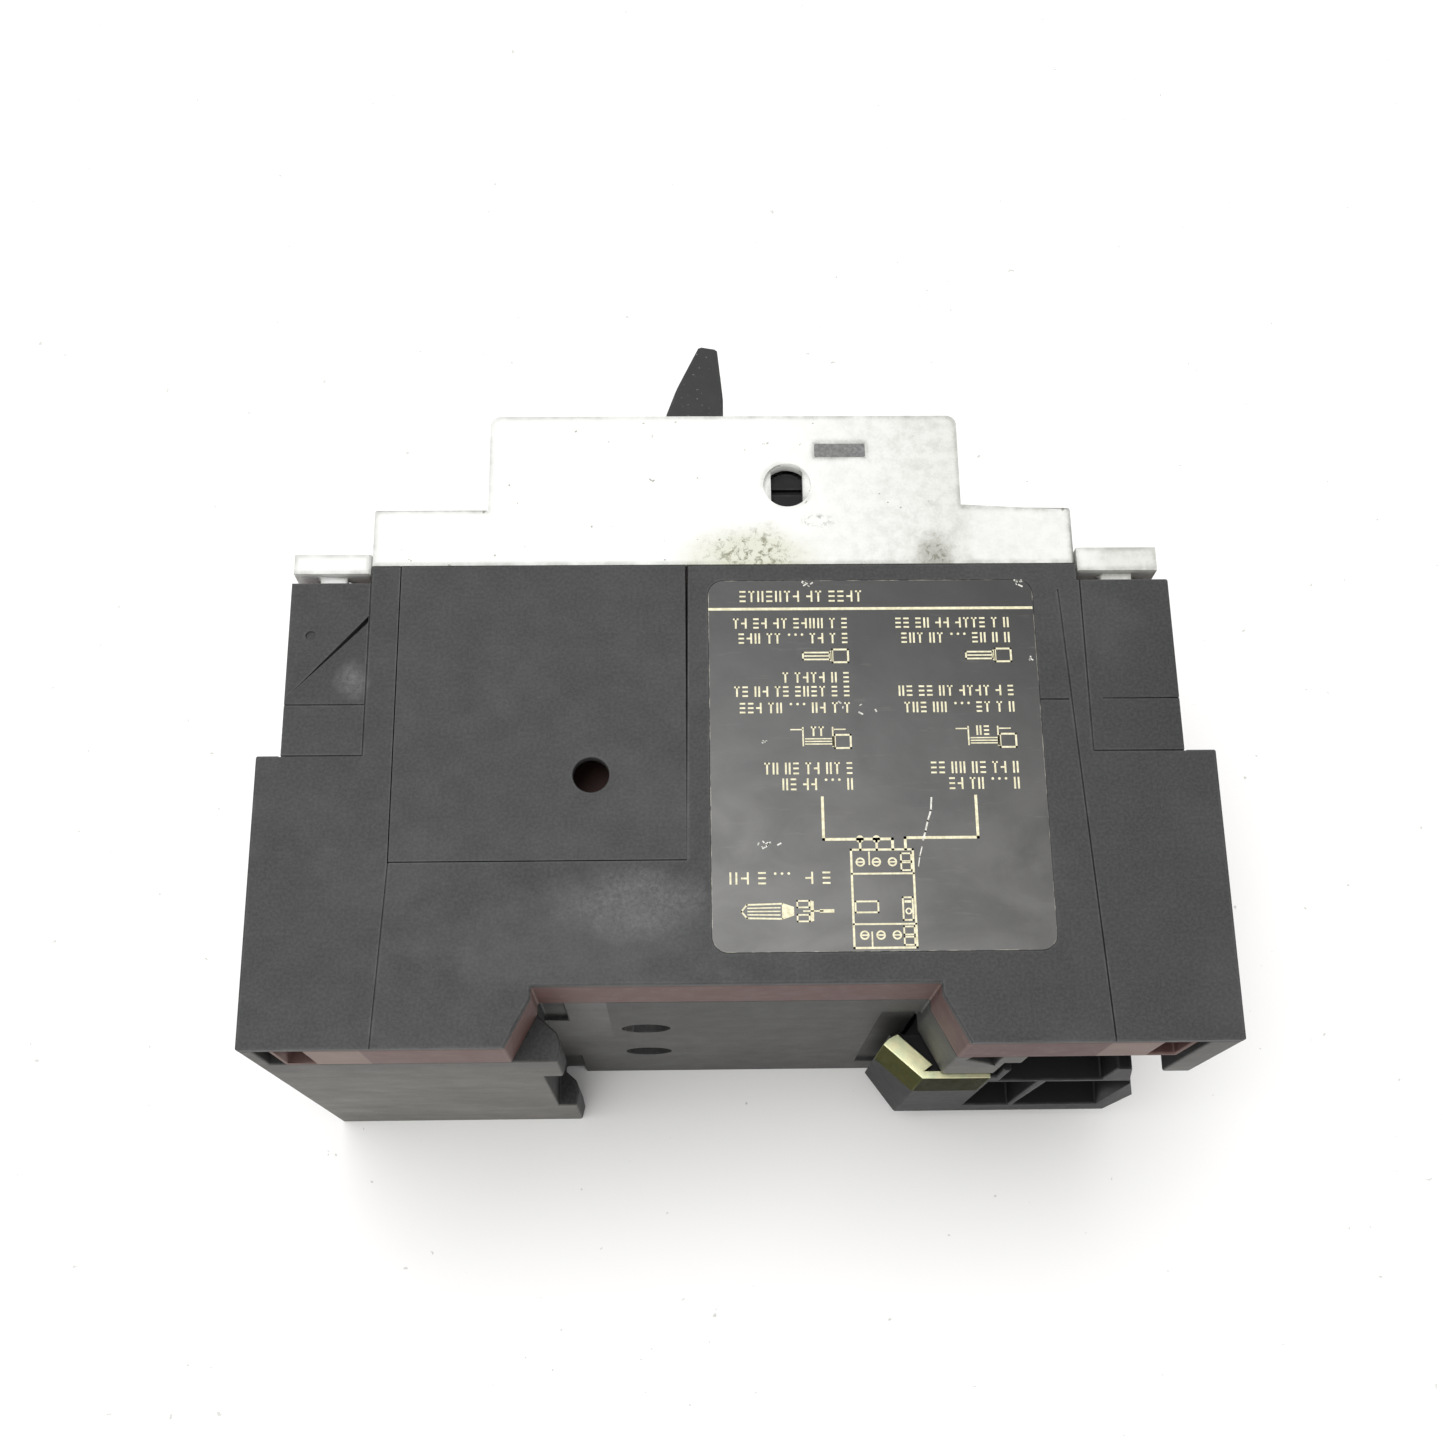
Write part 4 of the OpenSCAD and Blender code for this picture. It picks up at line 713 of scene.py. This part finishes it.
def label_scratches():
    """Pale scratches and nicks in the label."""
    low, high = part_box("side_label")
    corner = Vector((high.x, low.y, high.z))
    sheet = Print(corner, Vector((-1, 0, 0)), Vector((0, 1, 0)), Vector((0, 0, 1)), 0.016)
    long_one = [(10.84, 14.4), (10.95, 13.2), (11.3, 12.2), (11.55, 11.2), (11.8, 10.4)]
    for width, points in ((0.16, long_one), (0.1, [(11.95, 9.7), (12.2, 8.8), (12.35, 7.9)])):
        sheet.line(points, width)
    nicks = [(26.3, 10.0, 9, 0.9), (21.9, 36.05, 7, 0.7), (1.2, 36.0, 6, 0.6), (0.6, 28.1, 4, 0.4),
             (26.2, 20.0, 4, 0.5), (17.5, 23.4, 5, 1.6)]
    for u, v, count, spread in nicks:
        for _ in range(count):
            du, dv = draws.gauss(0, spread / 2), draws.gauss(0, spread / 4)
            at = (min(max(u + du, 0.3), 31.0), min(v + dv, 36.2))
            size = draws.uniform(0.05, 0.16)
            sheet.line([at, (at[0] + size * draws.uniform(-2, 2), at[1] + size)], size)
    sheet.finish("label_scratches", PALE_SCRATCH, "root")


SEGMENTS = {"0": "abcdef", "1": "bc", "2": "abged", "3": "abgcd", "4": "fgbc", "5": "afgcd"}


def digit(sheet, u, v, figure, height, stroke=0.2):
    """A plain figure of straight strokes, centred on u and v."""
    half, wide = height / 2, height * 0.28
    ends = {"a": (-1, -1, 1, -1), "b": (1, -1, 1, 0), "c": (1, 0, 1, 1), "d": (-1, 1, 1, 1),
            "e": (-1, 0, -1, 1), "f": (-1, -1, -1, 0), "g": (-1, 0, 1, 0)}
    for name in SEGMENTS[figure]:
        u0, v0, u1, v1 = ends[name]
        sheet.line([(u + u0 * wide, v + v0 * half), (u + u1 * wide, v + v1 * half)], stroke)


def front_print():
    """Generic marks on the front: the dial's scale, the lever's 0 and 1, the test arrow, a marking field."""
    dial_low, dial_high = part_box("current_dial")
    face = dial_high.y - DIAL_PROUD * MM
    sheet = Print(Vector((0, face, 0)), Vector((0, 0, -1)), Vector((1, 0, 0)), Vector((0, 1, 0)))
    dial_u, dial_v = -(dial_low.z + dial_high.z) / 2 / MM, (dial_low.x + dial_high.x) / 2 / MM
    for step in range(9):
        turn = math.radians(-120 + 30 * step)
        out = Vector((math.sin(turn), -math.cos(turn)))
        tick = SCALE_LONG if step % 2 == 0 else SCALE_SHORT
        sheet.line([(dial_u + out.x * SCALE_START, dial_v + out.y * SCALE_START),
                    (dial_u + out.x * tick, dial_v + out.y * tick)], 0.22)
        if step % 2 == 0:
            digit(sheet, dial_u + out.x * SCALE_FIGURES, dial_v + out.y * SCALE_FIGURES,
                  str(step // 2 + 1), 1.7)
    lever_low, lever_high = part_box("toggle_lever")
    lever_u = -(lever_low.z + lever_high.z) / 2 / MM
    digit(sheet, lever_u, 6.6, "0", 3.0, 0.4)
    sheet.line([(lever_u, -23.2), (lever_u, -20.8)], 0.4)
    test_low, test_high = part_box("test_button")
    test_u, test_v = -(test_low.z + test_high.z) / 2 / MM, (test_low.x + test_high.x) / 2 / MM
    sheet.polygon([(test_u - 0.9, test_v + 5.2), (test_u + 0.9, test_v + 5.2), (test_u, test_v + 3.7)])
    sheet.frame(lever_u - 9, 11.5, lever_u + 9, 19.5, 0.2)
    sheet.finish("front_print", DARK_INK, "root")


def slot_backing():
    """The grey strip that closes the cover's narrow slot from behind."""
    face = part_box("front_cover")[1].z
    start = Vector((SLOT_CORNER[0] * MM, SLOT_CORNER[1] * MM, face - SLOT_DEPTH * MM))
    sheet = Print(start, Vector((1, 0, 0)), Vector((0, 1, 0)), Vector((0, 0, 1)), 0.3)
    sheet.box(0, 0, *SLOT_SIZE)
    sheet.finish("slot_backing", GREY_STRIP, "root")


label_print()
label_scratches()
front_print()
slot_backing()


# ---- Floor, light and camera ----

def floor():
    f = Finish("floor", Specular_IOR_Level=0.2)
    paper = f.mix(f.noise(60, 3), (0.86, 0.855, 0.845), (0.885, 0.88, 0.872))
    specks = f.ramp(f.noise(1.4, 2, 0.6), (0.745, 0.0), (0.765, 0.6))
    f.colour(f.mix(specks, paper, (0.4, 0.39, 0.36)))
    f.roughness(f.noise(25, 3), 0.6, 0.8)
    f.bump((f.noise(3, 3), 0.02))
    mesh = bpy.data.meshes.new("floor")
    corners = ((-1, -1), (1, -1), (1, 1), (-1, 1))
    mesh.from_pydata([(x * FLOOR_REACH, y * FLOOR_REACH, cad_box[0].z) for x, y in corners],
                     [], [(0, 1, 2, 3)])
    mesh.materials.append(f.material)
    plane = bpy.data.objects.new("floor", mesh)
    scene.collection.objects.link(plane)


def soft_light(name, place, aim, size, power, tint=(1, 1, 1)):
    data = bpy.data.lights.new(name, "AREA")
    data.shape = "RECTANGLE"
    data.size, data.size_y = size
    data.energy = power
    data.color = tint
    lamp = bpy.data.objects.new(name, data)
    lamp.location = place
    lamp.rotation_mode = "QUATERNION"
    lamp.rotation_quaternion = (Vector(aim) - Vector(place)).to_track_quat("-Z", "Y")
    scene.collection.objects.link(lamp)


def world(strength):
    made = bpy.data.worlds.new("room")
    made.use_nodes = True
    made.node_tree.nodes["Background"].inputs["Color"].default_value = (1, 1, 1, 1)
    made.node_tree.nodes["Background"].inputs["Strength"].default_value = strength
    scene.world = made


def camera():
    """The photograph's viewing angle: from above the left side, tipped towards the rail side."""
    right, up = Vector(EYE_RIGHT), Vector(EYE_UP)
    back = right.cross(up)
    data = bpy.data.cameras.new("camera")
    data.lens = LENS
    data.sensor_width = SENSOR
    data.clip_start = 0.01
    view = bpy.data.objects.new("camera", data)
    turn = Matrix((right, up, back)).transposed().to_4x4()
    view.matrix_world = Matrix.Translation(Vector(EYE) * MM) @ turn
    scene.collection.objects.link(view)
    scene.camera = view


floor()
soft_light("overhead", (-0.14, 0.12, 0.85), (0, 0.03, 0), (0.68, 0.46), 5.4)
soft_light("viewer", (-0.25, -0.9, 0.4), (0, 0, 0), (1.0, 0.5), 2.4, (1, 0.985, 0.955))
world(0.74)
camera()
scene.view_settings.view_transform = "Standard"
